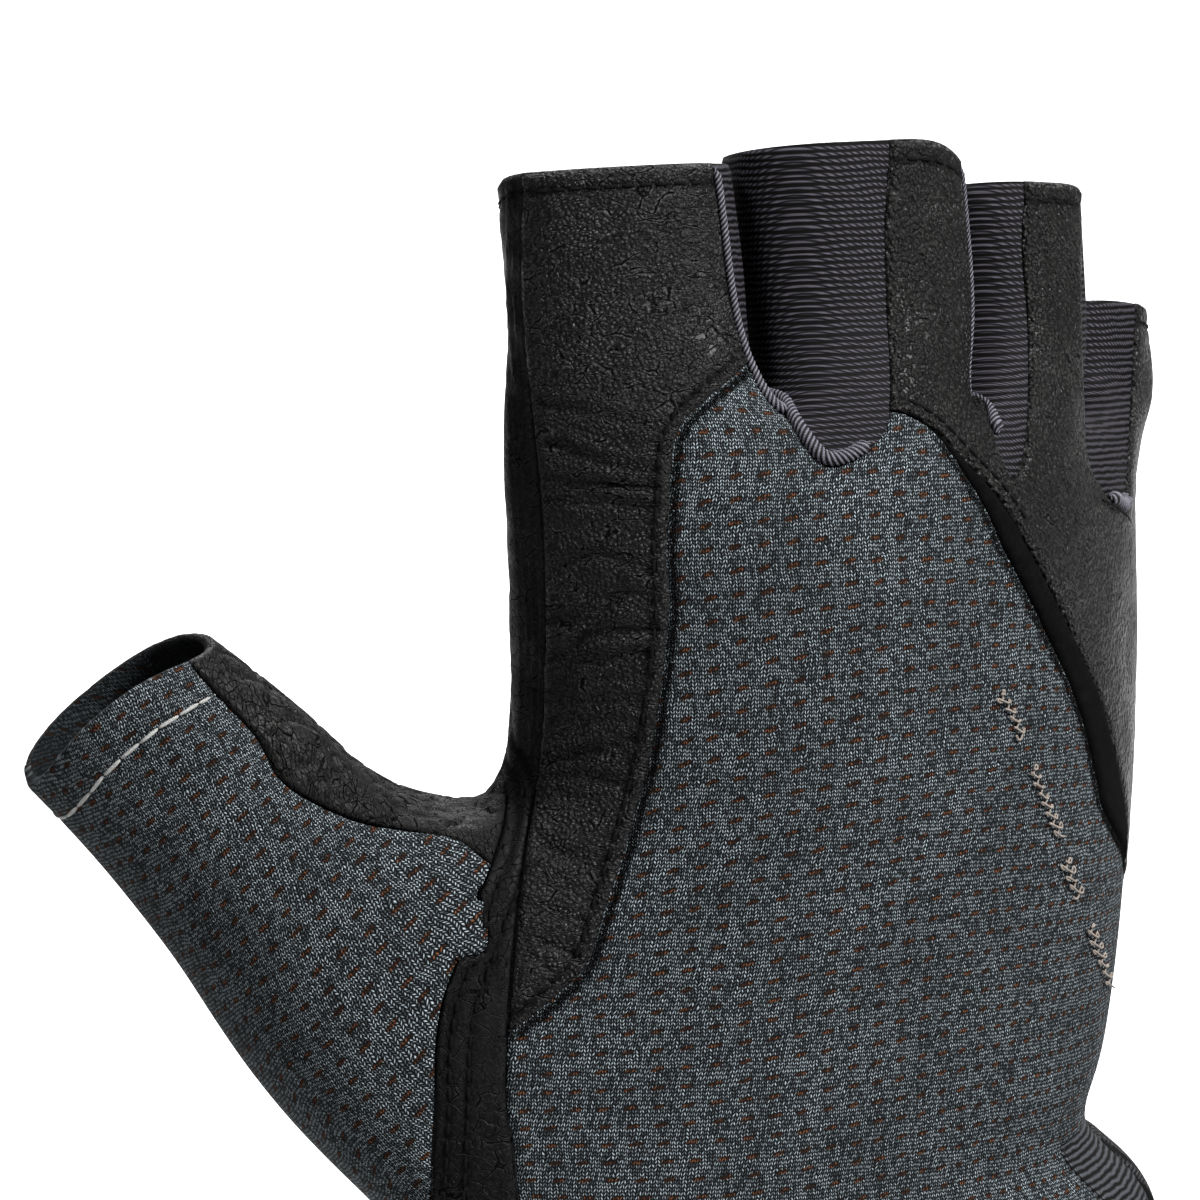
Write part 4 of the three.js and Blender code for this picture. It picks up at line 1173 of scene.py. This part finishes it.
def leatherMaterial(name, look):
    material, tree, shader = newMaterial(name)
    where = inMillimetres(tree)
    drift = where.noise(0.30, 2.0, "Color")
    bend = put(tree, "VectorMath", {0: drift, "Scale": look["bend"]}, operation="SCALE")
    bent = put(tree, "VectorMath", {0: where, 1: bend}, operation="ADD")
    fade = where.noise(0.32, 2.0)
    lines, rimHighlights = [], []
    for (shape, width, _), span in zip(look["creases"], creaseSpans):
        stretched = put(tree, "Mapping", {"Vector": bent, "Scale": shape})
        cells = {"Vector": stretched, "Scale": 1.0}
        gap = put(tree, "TexVoronoi", cells, "Distance", feature="DISTANCE_TO_EDGE")
        strength = fade.ramp(*span)
        line = gap.ramp(width, 0.0) * strength
        lines.append(1.0 - line)
        rimHighlights.append(gap.ramp(width * 1.7, width) * (strength - line))
    grains = {"Vector": where, "Scale": 1 / look["pebble"], "Smoothness": 0.35}
    dome = put(tree, "TexVoronoi", grains, "Distance", feature="SMOOTH_F1").ramp(0.75, 0.1)
    fine, broad = where.noise(6.0, 3.0), where.noise(0.11, 3.0)
    wear = broad.ramp(0.38, 0.70, 0.15, 0.8) * dome.ramp(0.2, 1.0)
    wear = wear + marked(tree, "edge").ramp(1.3, 0.0, 0.0, 0.6) * fine.ramp(0.35, 0.7)
    # painted shade: the colour darkens into the crease lines and along the stitched rows and hems
    clearOfShade = lines[0] * lines[1].ramp(0.0, 1.0, 0.55, 1.0) * (1.0 - marked(tree, "groove_shade") * 0.75)
    colour = clearOfShade.between(creaseShadeColour, wear.between(look["colour"], look["worn"]))
    # painted highlight: a pale line beside each strong crease
    rimHighlight = rimHighlights[0].math("MAXIMUM", 0.0) * fine.ramp(0.35, 0.65, 0.05, 0.5)
    smooth, dull = look["roughness"]
    surface(tree, shader, rimHighlight.between(colour, look["rim"]),
            broad.ramp(0.3, 0.7, dull, smooth) + (fine - 0.5) * 0.18,
            clearOfShade.ramp(0.0, 1.0, 0.1, 1.0) * look["specular"],
            [(line, crease[2], 0.9) for line, crease in zip(lines, look["creases"])]
            + [(dome, look["pebbleDepth"], 0.9), (fine, 0.02, 0.6)])
    return material


# pitch in mm, and the way that the ribs are counted: 0 along the cloth, 1 up it
ribLooks = {
    "rib": {"name": "ribbed_knit", "colour": rgba(0.047, 0.043, 0.053), "dark": rgba(0.0003, 0.0003, 0.0004),
            "pitch": 0.80, "way": 1, "depth": 0.22},
    "gusset": {"name": "gusset_knit", "colour": rgba(0.075, 0.080, 0.090), "dark": rgba(0.002, 0.002, 0.002),
               "pitch": 0.9, "way": 1, "depth": 0.22},
    "elastic": {"name": "black_elastic", "colour": rgba(0.040, 0.040, 0.044),
                "dark": rgba(0.002, 0.002, 0.002), "pitch": 1.3, "way": 0, "depth": 0.35},
}


def ribMaterial(look):
    material, tree, shader = newMaterial(look["name"])
    cloth = over(tree, "cloth")
    along = cloth.axis(look["way"]) + cloth.noise(0.5, 2.0, flat=True) * 0.5
    rib = (along / look["pitch"]).offMiddle().ramp(0.36, 0.08)
    slanted = cloth.axis(1 - look["way"]) / 0.42 + along / (look["pitch"] * 1.6)
    loops = slanted.offMiddle().ramp(0.46, 0.12, 0.12, 1.0)
    # painted light and shade: the colour rises on the ribs' and loops' crests and falls to the dark colour
    # between them
    lit = rib * loops * cloth.noise(4.0, 3.0, flat=True).ramp(0.2, 0.8, 0.6, 1.15)
    surface(tree, shader, lit.between(look["dark"], look["colour"]), 0.7, 0.06, [(lit, look["depth"], 0.8)])
    return material


# grain in spots per mm
fuzzLooks = {
    "suede": {"name": "black_suede", "colour": rgba(0.0010, 0.0010, 0.0010),
              "light": rgba(0.0045, 0.0045, 0.005),
              "grain": 5.0, "roughness": 1.0, "specular": 0.02, "depth": 0.1},
    "lining": {"name": "dark_lining", "colour": rgba(0.006, 0.006, 0.007), "light": rgba(0.026, 0.027, 0.030),
               "grain": 3.0, "roughness": 0.95, "specular": 0.15, "depth": 0.25},
    "blackThread": {"name": "black_thread", "colour": rgba(0.0012, 0.0012, 0.0012),
                    "light": rgba(0.006, 0.006, 0.006),
                    "grain": 8.0, "roughness": 0.8, "specular": 0.06, "depth": 0.25},
    "greyThread": {"name": "grey_thread", "colour": rgba(0.20, 0.20, 0.195), "light": rgba(0.52, 0.52, 0.50),
                   "grain": 8.0, "roughness": 0.7, "specular": 0.2, "depth": 0.25},
    "tanThread": {"name": "tan_thread", "colour": rgba(0.13, 0.11, 0.095), "light": rgba(0.38, 0.33, 0.29),
                  "grain": 8.0, "roughness": 0.7, "specular": 0.2, "depth": 0.25},
}


def fuzzMaterial(look):
    material, tree, shader = newMaterial(look["name"])
    where = inMillimetres(tree)
    fine = where.noise(look["grain"], 4.0, roughness=0.7)
    lit = fine.ramp(0.35, 0.75) * where.noise(look["grain"] * 0.12, 2.0).ramp(0.3, 0.7, 0.4, 1.0)
    surface(tree, shader, lit.between(look["colour"], look["light"]), look["roughness"], look["specular"],
            [(fine, look["depth"], 0.8)])
    return material


def cordMaterial(name, colour, dark):
    material, tree, shader = newMaterial(name)
    fine = inMillimetres(tree).noise(7.0, 3.0)
    # painted light and shade: on a cord the edge mark holds its strands' crests, and the colour falls to dark
    # between the strands
    lit = marked(tree, "edge").ramp(-0.5, 0.8) * fine.ramp(0.3, 0.7, 0.35, 1.1)
    surface(tree, shader, lit.between(dark, colour), 0.7, 0.15, [(fine, 0.12, 0.7)])
    return material


print("finishes")
finishes = {
    "leather": leatherMaterial("charcoal_leather", leatherLook),
    "knuckle": leatherMaterial("pebbled_leather", knuckleLook),
    "thumbLeather": leatherMaterial("wrinkled_leather", thumbLook),
    "stripLeather": leatherMaterial("strip_leather", stripLook),
    "meshInsideShaded": knitMaterial("knit_inside_shaded", shadedKnitLook),
    "mesh": knitMaterial("slate_mesh_knit", knitLook),
    "overlock": cordMaterial("overlock_thread", rgba(0.120, 0.116, 0.140), rgba(0.0015, 0.0015, 0.002)),
    **{key: ribMaterial(look) for key, look in ribLooks.items()},
    **{key: fuzzMaterial(look) for key, look in fuzzLooks.items()},
}

# the sewn panels
sideKnit = {"wall": 1.1, "off": -0.35, "look": "rib", "slot": "side_knit", "round": 0.3}
backOfHand = [("thumb", -1), ("palm", -1)]
backPanels = backOfHand + [("wall0", -1), ("wall1", -1), ("wall2", -1), ("strip", -1)]
belowKnuckles = backPanels + [("indexBack", -1, -0.9), ("knuckle", -1)]
panels = [
    {"node": "thumb_mesh", "cuts": [("thumb", 1), ("thumbMesh", 1)], "wall": 1.6, "off": 0.1, "look": "mesh",
     "slot": "back_mesh", "round": 0.7, "hem": 5.5, "cloth": "thumb", "inside": "meshInsideShaded"},
    {"node": "thumb_leather", "cuts": [("thumb", 1), ("thumbMesh", -1)], "wall": 1.4, "off": 0,
     "look": "thumbLeather", "slot": "thumb_leather", "round": 0.8, "wrinkle": 0.5,
     "stretch": (2.6, 2.6, 8.0), "cloth": "thumb", "inside": "meshInsideShaded"},
    {"node": "palm_leather", "cuts": [("thumb", -1), ("palm", 1), ("cuff", -1, 0.0)], "wall": 1.4, "off": 0,
     "look": "leather", "slot": "palm_leather", "round": 0.7, "wrinkle": 0.2, "stretch": (7, 7, 2.3),
     "hem": 2.4, "stitched": [("palm", 1.5)]},
    {"node": "cuff_band", "cuts": [("thumb", -1), ("palm", 1), ("cuff", 1, 0.05)], "wall": 2.2, "off": 0.4,
     "look": "elastic", "slot": "cuff_elastic", "round": 0.9},
    {"node": "fourchette_index_middle", "cuts": backOfHand + [("wall0", 1, -0.55)], **sideKnit},
    {"node": "fourchette_middle_ring", "cuts": backOfHand + [("wall0", -1), ("wall1", 1, -0.55)], **sideKnit},
    {"node": "fourchette_ring_little",
     "cuts": backOfHand + [("wall0", -1), ("wall1", -1), ("wall2", 1, -0.55)], **sideKnit},
    {"node": "index_side_strip", "cuts": backPanels[:-1] + [("strip", 1)], "wall": 1.4, "off": 0,
     "look": "stripLeather", "slot": "back_leather", "round": 0.7, "wrinkle": 0.12, "stretch": (7, 7, 2.3),
     "hem": 2.4, "stitched": [("thumb", 1.7), ("thumb", 4.0)],
     "ridges": [(1.5, 0.40, 0.35), (3.0, 0.40, 0.5), (4.5, 0.25, 0.5)]},
    {"node": "index_back_leather", "cuts": backPanels + [("indexBack", 1)], "wall": 1.4, "off": 0.55,
     "look": "leather", "slot": "back_leather", "round": 0.9, "wrinkle": 0.14, "stretch": (9, 9, 2.0),
     "hem": 2.4, "folded": True, "stitched": [("indexBack", 1.7)]},
    {"node": "knuckle_leather", "cuts": backPanels + [("indexBack", -1), ("knuckle", 1)], "wall": 1.4,
     "off": 0.3, "look": "knuckle", "slot": "knuckle_leather", "round": 0.7, "wrinkle": 0.10,
     "stretch": (5, 5, 3.5), "hem": 2.4},
    {"node": "knuckle_edge_trim", "cuts": belowKnuckles + [("trim", 1)], "wall": 2.0, "off": 0.5,
     "look": "suede", "slot": "edge_suede", "round": 0.8},
    {"node": "back_mesh", "cuts": belowKnuckles + [("trim", -1, -0.3), ("gusset", -1)], "wall": 1.6, "off": 0,
     "look": "mesh", "slot": "back_mesh", "round": 0.5},
    {"node": "cuff_gusset", "cuts": belowKnuckles + [("trim", -1), ("gusset", 1)], "wall": 1.1, "off": -0.1,
     "look": "gusset", "slot": "side_knit", "round": 0.5},
]
made = {}
wristMiddle, bandRadius = (12.6, 2.0), 31
ribWeave = {"across": 0.7, "lean": 0.05}
thumbCell = (3.3, 2.6)  # mm from opening to opening on the thumb

# folds across the back of the index finger, as lines in the chart with a depth
folds = [
    (0.20, [(-6.9, 23.9), (6.5, 21.2)]),
    (0.30, [(-6.6, 19.5), (1.2, 16.6), (6.5, 15.6)]),
    (0.42, [(-6.9, 14.9), (-2.5, 13.9), (0, 14.2), (6.5, 13.8)]),
    (0.28, [(-6.6, 12.8), (0, 12.2), (6.2, 11.5)]),
    (0.26, [(-6.0, 3.2), (-2.8, 5.1), (0.3, 5.7), (6.2, 3.8)]),
    (0.42, [(-6.0, -2.1), (0.3, -2.0), (2.2, 0.7), (6.2, 0.4)]),
    (0.46, [(-5.7, -6.7), (-3.1, -6.1), (-1.6, -3.9), (6.5, -3.7)]),
    (0.30, [(-5.7, -8.0), (-2.8, -7.4), (0.3, -7.1), (6.2, -6.1)]),
    (0.20, [(-6.0, -11.5), (0.3, -12.1), (6.0, -11.7)]),
    (0.36, [(-6.3, -19.9), (-2.8, -18.9), (4.6, -16.7)]),
    (0.26, [(-7.7, -21.5), (-2.4, -21.1), (3.8, -22.8)]),
    (0.46, [(-7.7, -29.0), (-3.8, -31.0), (2.1, -31.6)]),
    (0.30, [(-8.3, -30.0), (-5.0, -31.6), (0.0, -33.2)]),
    (0.30, [(-9.3, -37.4), (-2.4, -38.8)]),
    (0.36, [(-10.0, -41.1), (-3.0, -43.0)]),
    (0.30, [(-10.0, -42.3), (-6.1, -45.0)]),
]
foldShape = {"half": 0.50, "bulge": 0.30, "bulgeAt": 1.15, "bulgeHalf": 0.65, "deepen": 1.8}
grooveHalf, grooveDepth = 0.55, 0.28
wrinkleShape = {"sharp": 3.2, "power": 1.5, "small": 0.55, "fine": 0.5, "creases": 0.8, "swell": 0.5}
edgeDrop, calmSpan = 0.75, 1.5  # how far the rolled edge falls, and the width in which folds fade to it


def grooveOf(panel, data):
    total = np.zeros(len(data))
    for name, distance in panel.get("stitched", ()):
        total += np.exp(-(((np.abs(data[:, at[name]]) - distance) / grooveHalf) ** 2))
    if "hem" in panel:
        total += np.exp(-(((data[:, at["away"]] - panel["hem"]) / grooveHalf) ** 2))
    return np.clip(total, 0, 1)


def relief(panel, data, edge):
    r = panel["round"]
    toEdge = np.minimum(edge, data[:, at["away"]])
    inner = np.clip(1 - toEdge / r, 0, 1)
    height = -edgeDrop * r * (1 - np.sqrt(np.clip(1 - inner**2, 0, 1)))
    place, chartSpots = data[:, :3], data[:, [at["u"], at["v"]]]
    calm = np.clip(toEdge / calmSpan, 0.25, 1)
    if "wrinkle" in panel:
        stretch = np.array(panel["stretch"])
        n1 = hashNoise(place / stretch + hashNoise(place / 9.0, 5)[:, None] * 0.5, 11)
        n2 = hashNoise(place / (stretch * wrinkleShape["small"]) + 17.3, 23)
        sharp, power = wrinkleShape["sharp"], wrinkleShape["power"]
        strong, fine = (np.clip(1 - np.abs(n) * sharp, 0, 1) ** power for n in (n1, n2))
        crease = -strong - wrinkleShape["fine"] * fine
        swell = wrinkleShape["swell"] * hashNoise(place / 11.0, 31)
        height = height + panel["wrinkle"] * calm * (crease * wrinkleShape["creases"] + swell)
    if panel.get("folded"):
        for depth, line in folds:
            gap, _ = segmentGaps(smoothLine(line), chartSpots)
            rise = np.exp(-(((gap - foldShape["bulgeAt"]) / foldShape["bulgeHalf"]) ** 2))
            sink = np.exp(-((gap / foldShape["half"]) ** 2))
            height = height + calm * (foldShape["bulge"] * rise - foldShape["deepen"] * depth * sink)
    for distance, depth, puckers in panel.get("ridges", ()):
        gap = np.abs(np.abs(data[:, at["strip"]]) - distance)
        pucker = hashNoise(np.stack([data[:, at["v"]] / 0.9, np.full(len(data), distance)], axis=1), 41)
        height = height - depth * np.exp(-((gap / 0.5) ** 2)) * (1 + puckers * pucker)
        height = height + 0.10 * puckers * pucker * np.exp(-(((gap - 0.8) / 0.6) ** 2))
    return height - grooveDepth * grooveOf(panel, data)


def twice(values):  # for the outer face and then the inner one
    return np.concatenate([values, values])


for panel in panels:
    data, triangles, edge = cutPanel(panel["cuts"], seams["halfGap"])
    height = panel["off"] + relief(panel, data, edge)
    outer = data[:, :3] + data[:, 3:6] * height[:, None]
    inner = data[:, :3] + data[:, 6:9] * (panel["off"] - panel["wall"])
    count = len(data)
    ring = np.concatenate([triangles[:, [0, 1]], triangles[:, [1, 2]], triangles[:, [2, 0]]])
    keys = set(map(tuple, ring.tolist()))
    rim = np.array([e for e in keys if (e[1], e[0]) not in keys])
    rim = rim[np.lexsort((rim[:, 1], rim[:, 0]))]
    sides = np.concatenate([
        np.stack([rim[:, 0], rim[:, 0] + count, rim[:, 1]], axis=1),
        np.stack([rim[:, 1], rim[:, 0] + count, rim[:, 1] + count], axis=1),
    ])
    faces = np.concatenate([triangles, triangles[:, [0, 2, 1]] + count, sides])
    which = np.repeat([0, 1, 0], [len(triangles), len(triangles), len(sides)])
    cloth = data[:, [at["s"], at["t"]]]
    openings = openingsOver("hand", cloth[:, 0], cloth[:, 1])
    if panel.get("cloth") == "thumb":
        openings = openingsOver("thumb", data[:, at["thumbS"]], data[:, at["thumbT"]])
        cloth = openings * thumbCell
    if panel["look"] == "elastic":  # ribs run up the band
        fromWrist = data[:, :2] - wristMiddle
        cloth = np.stack([np.arctan2(fromWrist[:, 0], fromWrist[:, 1]) * bandRadius, data[:, 2]], axis=1)
    if panel["look"] == "rib":
        upward = data[:, at["v"]] - ribWeave["lean"] * data[:, at["u"]]
        cloth = np.stack([(data[:, 0] + data[:, 1]) * ribWeave["across"], upward], axis=1)
    toEdge = np.minimum(edge, data[:, at["away"]])
    looks = [finishes[panel["look"]], finishes[panel.get("inside", "lining")]]
    # the groove mark darkens the leather's colour along stitched rows and hems, as painted shade
    meshPiece(panel["node"] + "_sewn", np.concatenate([outer, inner]), faces, looks,
              [panel["node"]], maps={"cloth": twice(cloth), "openings": twice(openings)},
              marks={"edge": twice(toEdge), "groove_shade": twice(grooveOf(panel, data))}, which=which)
    shown = data.copy()
    shown[:, :3] = outer
    made[panel["node"]] = {"rows": shown, "triangles": triangles}
    print("panel", panel["node"], len(faces), "triangles")


# stitching
def rowAt(node, field, distance, keep=None):
    rows, triangles = made[node]["rows"], made[node]["triangles"]
    lines = contours(rows, triangles, np.abs(rows[:, at[field]]) - distance)
    if keep is None:
        return lines
    out = []
    for line in lines:
        inside = keep(line)
        start = None
        for i in range(len(line) + 1):
            if i < len(line) and inside[i]:
                start = i if start is None else start
            elif start is not None:
                if i - start > 4:
                    out.append(line[start:i])
                start = None
    return out


def stitchPiece(name, lines, thread, pitch=2.1, length=1.55, radius=0.24, lift=0.0, dip=0.18):
    parts = []
    for line in lines:
        if stepsOf(line).sum() > 2 * pitch:
            parts += stitchRow(line, pitch, length, radius, lift, dip)
    if not parts:
        print("no stitches for", name)
        return
    points, faces = joined(parts)
    meshPiece(name, points, faces, [finishes[thread]])
    print("stitches", name, len(parts))


def onHem(line):
    return (line[:, at["away"]] > 1.0) & (line[:, at["z"]] > 60)


def lowOnStrip(line):
    return line[:, at["v"]] < -33


for node, slotName in (("index_back_leather", "back_leather"), ("knuckle_leather", "knuckle_leather"),
                       ("palm_leather", "palm_leather"), ("index_side_strip", "back_leather")):
    stitchPiece("hem_stitches_" + node, rowAt(node, "away", 2.4, onHem), "blackThread")
stitchPiece("edge_stitches_index", rowAt("index_back_leather", "indexBack", 1.7), "blackThread")
jointRows = [line for distance in (1.7, 4.0)
             for line in rowAt("index_side_strip", "thumb", distance, lowOnStrip)]
stitchPiece("seam_stitches_joint", jointRows, "blackThread")
stitchPiece("edge_stitches_knuckle", rowAt("knuckle_leather", "knuckle", 1.6, lambda r: r[:, at["u"]] < 52),
            "blackThread")
stitchPiece("edge_stitches_palm", rowAt("palm_leather", "palm", 1.5), "blackThread")
stitchPiece("hem_stitches_thumb", rowAt("thumb_mesh", "away", 5.5), "greyThread",
            pitch=2.9, length=2.7, radius=0.24, lift=0.1, dip=0.1)

# overlocked cords round the lower ends of the side walls: kept where u and v are below these limits
cordLook = {"inset": 0.55, "ridge": 0.16, "strands": 4, "spacing": 0.62, "sides": 16,
            "step": 0.13, "roughStep": 0.5, "passes": 14, "taper": 8, "shortest": 6}
cords = [
    {"radius": [(15, 0.85), (22, 0.70), (30, 0.50), (60, 0.45)], "limits": [(33.0, 99)]},
    {"radius": [(15, 1.15), (20, 1.0), (24, 0.35), (60, 0.22)], "limits": [(48.6, 99), (51.0, 17.5)]},
    {"radius": [(10, 0.95), (14, 0.8), (18, 0.4), (50, 0.2)], "limits": [(64.2, 13)]},
]


def cordAlong(line, radii):
    path = resample(eased(resample(line, cordLook["roughStep"]), cordLook["passes"]), cordLook["step"])
    radius = np.interp(path[:, at["v"]], [r[0] for r in radii], [r[1] for r in radii])
    fromEnd = np.minimum(np.arange(len(path)), np.arange(len(path))[::-1])
    radius = radius * np.clip(fromEnd / cordLook["taper"], 0.3, 1)
    spine = path[:, :3] + path[:, 3:6] * (radius * 0.35 + 0.15)[:, None]
    turns = np.arange(len(path)) * cordLook["step"] / cordLook["spacing"] * 2 * math.pi
    sides = cordLook["sides"]
    strands = np.cos(cordLook["strands"] * np.arange(sides)[None, :] * 2 * math.pi / sides - turns[:, None])
    points, faces = sweep(spine, radius, sides, cordLook["ridge"] * strands)
    return points, faces, np.concatenate([strands.reshape(-1), [0, 0]])


for n, (wall, cord) in enumerate(zip(sideWalls, cords)):
    node = wall["name"]
    lines = rowAt(node, "wall%d" % n, cordLook["inset"],
                  lambda r: (r[:, at["facing"]] > -0.2) & (r[:, at["away"]] > 0.3)
                  & np.any([(r[:, at["u"]] < u) & (r[:, at["v"]] < v) for u, v in cord["limits"]], axis=0))
    lines = [line for line in lines if stepsOf(line).sum() > cordLook["shortest"]]
    parts = [cordAlong(line, cord["radius"]) for line in lines]
    if parts:
        points, faces = joined([part[:2] for part in parts])
        # the edge mark here holds the strands' crests, which the cord's finish paints as light on the crests
        # and shade between them
        meshPiece("overlock_" + node, points, faces, [finishes["overlock"]],
                  marks={"edge": np.concatenate([part[2] for part in parts])})
        print("cord", node, len(parts), len(faces))


# short black fibres where the leather and suede edges lie on the mesh: partly loose fibres, partly a dark
# band of painted shade along those edges
fuzzLook = {"perMm": 26, "length": (0.4, 1.1), "thick": 0.035, "under": -0.3, "spread": 0.5, "lean": 0.6}


def fibres(name, lines, toward, seed):
    rng = np.random.default_rng(seed)
    parts = []
    for line in lines:
        rows = resample(line, 1 / fuzzLook["perMm"])
        along = np.gradient(rows[:, :3], axis=0)
        along /= np.maximum(np.linalg.norm(along, axis=1, keepdims=True), 1e-9)
        normal = rows[:, 3:6] / np.linalg.norm(rows[:, 3:6], axis=1, keepdims=True)
        away = np.cross(along, normal)
        away *= np.sign(away @ toward)[:, None]
        for k in range(len(rows)):
            lean = rng.normal(0, fuzzLook["lean"], 3)
            length = rng.uniform(*fuzzLook["length"])
            out = rng.uniform(fuzzLook["under"], fuzzLook["spread"])
            start = rows[k, :3] + away[k] * out + normal[k] * 0.02
            way = unit(away[k] * 0.8 + along[k] * lean[0] + normal[k] * (0.35 + lean[1] * 0.3))
            bendWay = unit(way + along[k] * lean[2] * 0.8 - normal[k] * 0.3)
            tip = start + way * length * 0.5 + bendWay * length * 0.5
            path = np.array([start, start + way * length * 0.5, tip])
            parts.append(sweep(path, [fuzzLook["thick"], fuzzLook["thick"] * 0.8, 0.01], 3))
    points, faces = joined(parts)
    meshPiece(name, points, faces, [finishes["blackThread"]])
    print("fibres", name, len(parts))


def meshBeside(field):
    rows = made["back_mesh"]["rows"]
    return contours(rows, made["back_mesh"]["triangles"], rows[:, at[field]] + 0.25)


fibres("fuzz_and_shade_index_edge", meshBeside("indexBack"), chartRight, 3)
fibres("fuzz_and_shade_trim_edge", meshBeside("trim"), -chartRight, 4)


def onPanel(node, spots):
    rows = made[node]["rows"]
    rows = rows[rows[:, at["facing"]] > 0]
    out = []
    for spot in np.atleast_2d(spots):
        gap = np.hypot(rows[:, at["u"]] - spot[0], rows[:, at["v"]] - spot[1])
        near = np.argsort(gap)[:4]
        weight = 1 / np.maximum(gap[near], 0.05) ** 2
        out.append((rows[near] * weight[:, None]).sum(0) / weight.sum())
    return np.array(out)


# loose chain stitches on the mesh: runs of the row in the chart, with the loops' spacing and half width
chainLook = {"pitch": 1.3, "half": 0.68, "radius": 0.135, "lift": 0.24, "rise": 0.10, "sway": 0.55,
             "shake": (0.6, 1.25), "step": 0.07}
chainRuns = [
    [(48.5, -11.2), (50.2, -14.0), (51.3, -16.8)],
    [(52.4, -20.2), (54.0, -24.2), (55.9, -28.8)],
    [(56.4, -31.6), (58.2, -36.2)],
    [(59.4, -39.5), (60.8, -43.5), (62.0, -47.0)],
]
rng = np.random.default_rng(12)
parts = []
for run in chainRuns:
    line = smoothLine(run, 0.1)
    length = distanceAlong(line)
    spots = np.arange(0, length[-1], chainLook["step"])
    middle = np.stack([np.interp(spots, length, line[:, c]) for c in range(2)], axis=1)
    way = np.gradient(middle, axis=0)
    way /= np.linalg.norm(way, axis=1, keepdims=True)
    side = np.stack([-way[:, 1], way[:, 0]], axis=1)
    phase = spots / chainLook["pitch"] * 2 * math.pi
    knots = np.arange(0, length[-1] + 2)
    shake = np.interp(spots, knots, rng.uniform(*chainLook["shake"], len(knots)))
    across = chainLook["half"] * shake * np.sin(phase)
    along = chainLook["sway"] * shake * np.sin(2 * phase + 0.6)
    rows = onPanel("back_mesh", middle + side * across[:, None] + way * along[:, None])
    lift = chainLook["lift"] + chainLook["rise"] * (1 + np.cos(phase))
    path = eased(rows[:, :3] + rows[:, 3:6] * lift[:, None], 3)
    parts.append(sweep(path, chainLook["radius"], 6))
points, faces = joined(parts)
meshPiece("chain_stitches", points, faces, [finishes["tanThread"]])
tail = onPanel("knuckle_leather", [(61.0, 12.2), (62.3, 11.2), (63.6, 10.3), (64.3, 9.4)])
path = resample(tail[:, :3] + tail[:, 3:6] * np.array([[0.1], [0.5], [0.6], [0.3]]), 0.3)
points, faces = sweep(path, np.linspace(0.16, 0.08, len(path)), 6)
meshPiece("thread_tail", points, faces, [finishes["blackThread"]])
print("loose threads")

# studio
floorLook = {"level": -0.12, "half": 6.0}
floorMaterial, _, floorShader = newMaterial("pale_floor")
floorShader.inputs["Base Color"].default_value = rgba(0.6, 0.6, 0.6)
floorShader.inputs["Roughness"].default_value = 0.9
floorShader.inputs["Emission Color"].default_value = rgba(1, 1, 1)
floorShader.inputs["Emission Strength"].default_value = 0.25
h = floorLook["half"]
floorMesh = bpy.data.meshes.new("floor")
floorMesh.from_pydata([(-h, -h, floorLook["level"]), (h, -h, floorLook["level"]), (h, h, floorLook["level"]),
                       (-h, h, floorLook["level"])], [], [(0, 1, 2, 3)])
floorMesh.materials.append(floorMaterial)
floor = bpy.data.objects.new("floor", floorMesh)
bpy.context.scene.collection.objects.link(floor)

world = bpy.data.worlds.new("studio")
bpy.context.scene.world = world
world.use_nodes = True
world.node_tree.nodes["Background"].inputs[0].default_value = rgba(1, 1, 1)
world.node_tree.nodes["Background"].inputs[1].default_value = 0.07

centre = chartTarget * mm
# each lamp's place and aim, as metres toward the camera, to its right and up from the glove's middle
lamps = [
    {"name": "key", "place": (0.19, 0.38, 0.42), "aim": (0, 0, 0), "size": 0.18, "power": 11.0},
    {"name": "fill", "place": (0.34, -0.34, 0.62), "aim": (0, 0, 0), "size": 0.16, "power": 4.0},
    {"name": "top", "place": (-0.5, 0.2, 1.5), "aim": (0, 0, 0), "size": 1.2, "power": 6.0},
    {"name": "backdrop", "place": (-0.9, 0.0, 0.42), "aim": (-0.9, 0.0, 0.0), "size": 0.9, "power": 20.0},
]
levelToward = unit(chartToward * (1, 1, 0))


def studioPlace(spot):
    offset = levelToward * spot[0] + chartRight * spot[1] + np.array([0, 0, spot[2]])
    return Vector(centre) + Vector(offset)


for lamp in lamps:
    light = bpy.data.lights.new(lamp["name"], "AREA")
    light.shape = "SQUARE"
    light.size = lamp["size"]
    light.energy = lamp["power"]
    item = bpy.data.objects.new(lamp["name"], light)
    item.location = studioPlace(lamp["place"])
    item.rotation_euler = (studioPlace(lamp["aim"]) - item.location).to_track_quat("-Z", "Y").to_euler()
    bpy.context.scene.collection.objects.link(item)

cameraData = bpy.data.cameras.new("camera")
cameraData.sensor_width = 36
cameraData.lens = 36 * chart["distance"] / chart["width"]
camera = bpy.data.objects.new("camera", cameraData)
camera.location = Vector(cameraPlace * mm)
camera.rotation_euler = Vector(-chartToward).to_track_quat("-Z", "Y").to_euler()
cameraData.clip_end = 50
bpy.context.scene.collection.objects.link(camera)
bpy.context.scene.camera = camera
bpy.context.scene.view_settings.view_transform = "Standard"
print("studio")
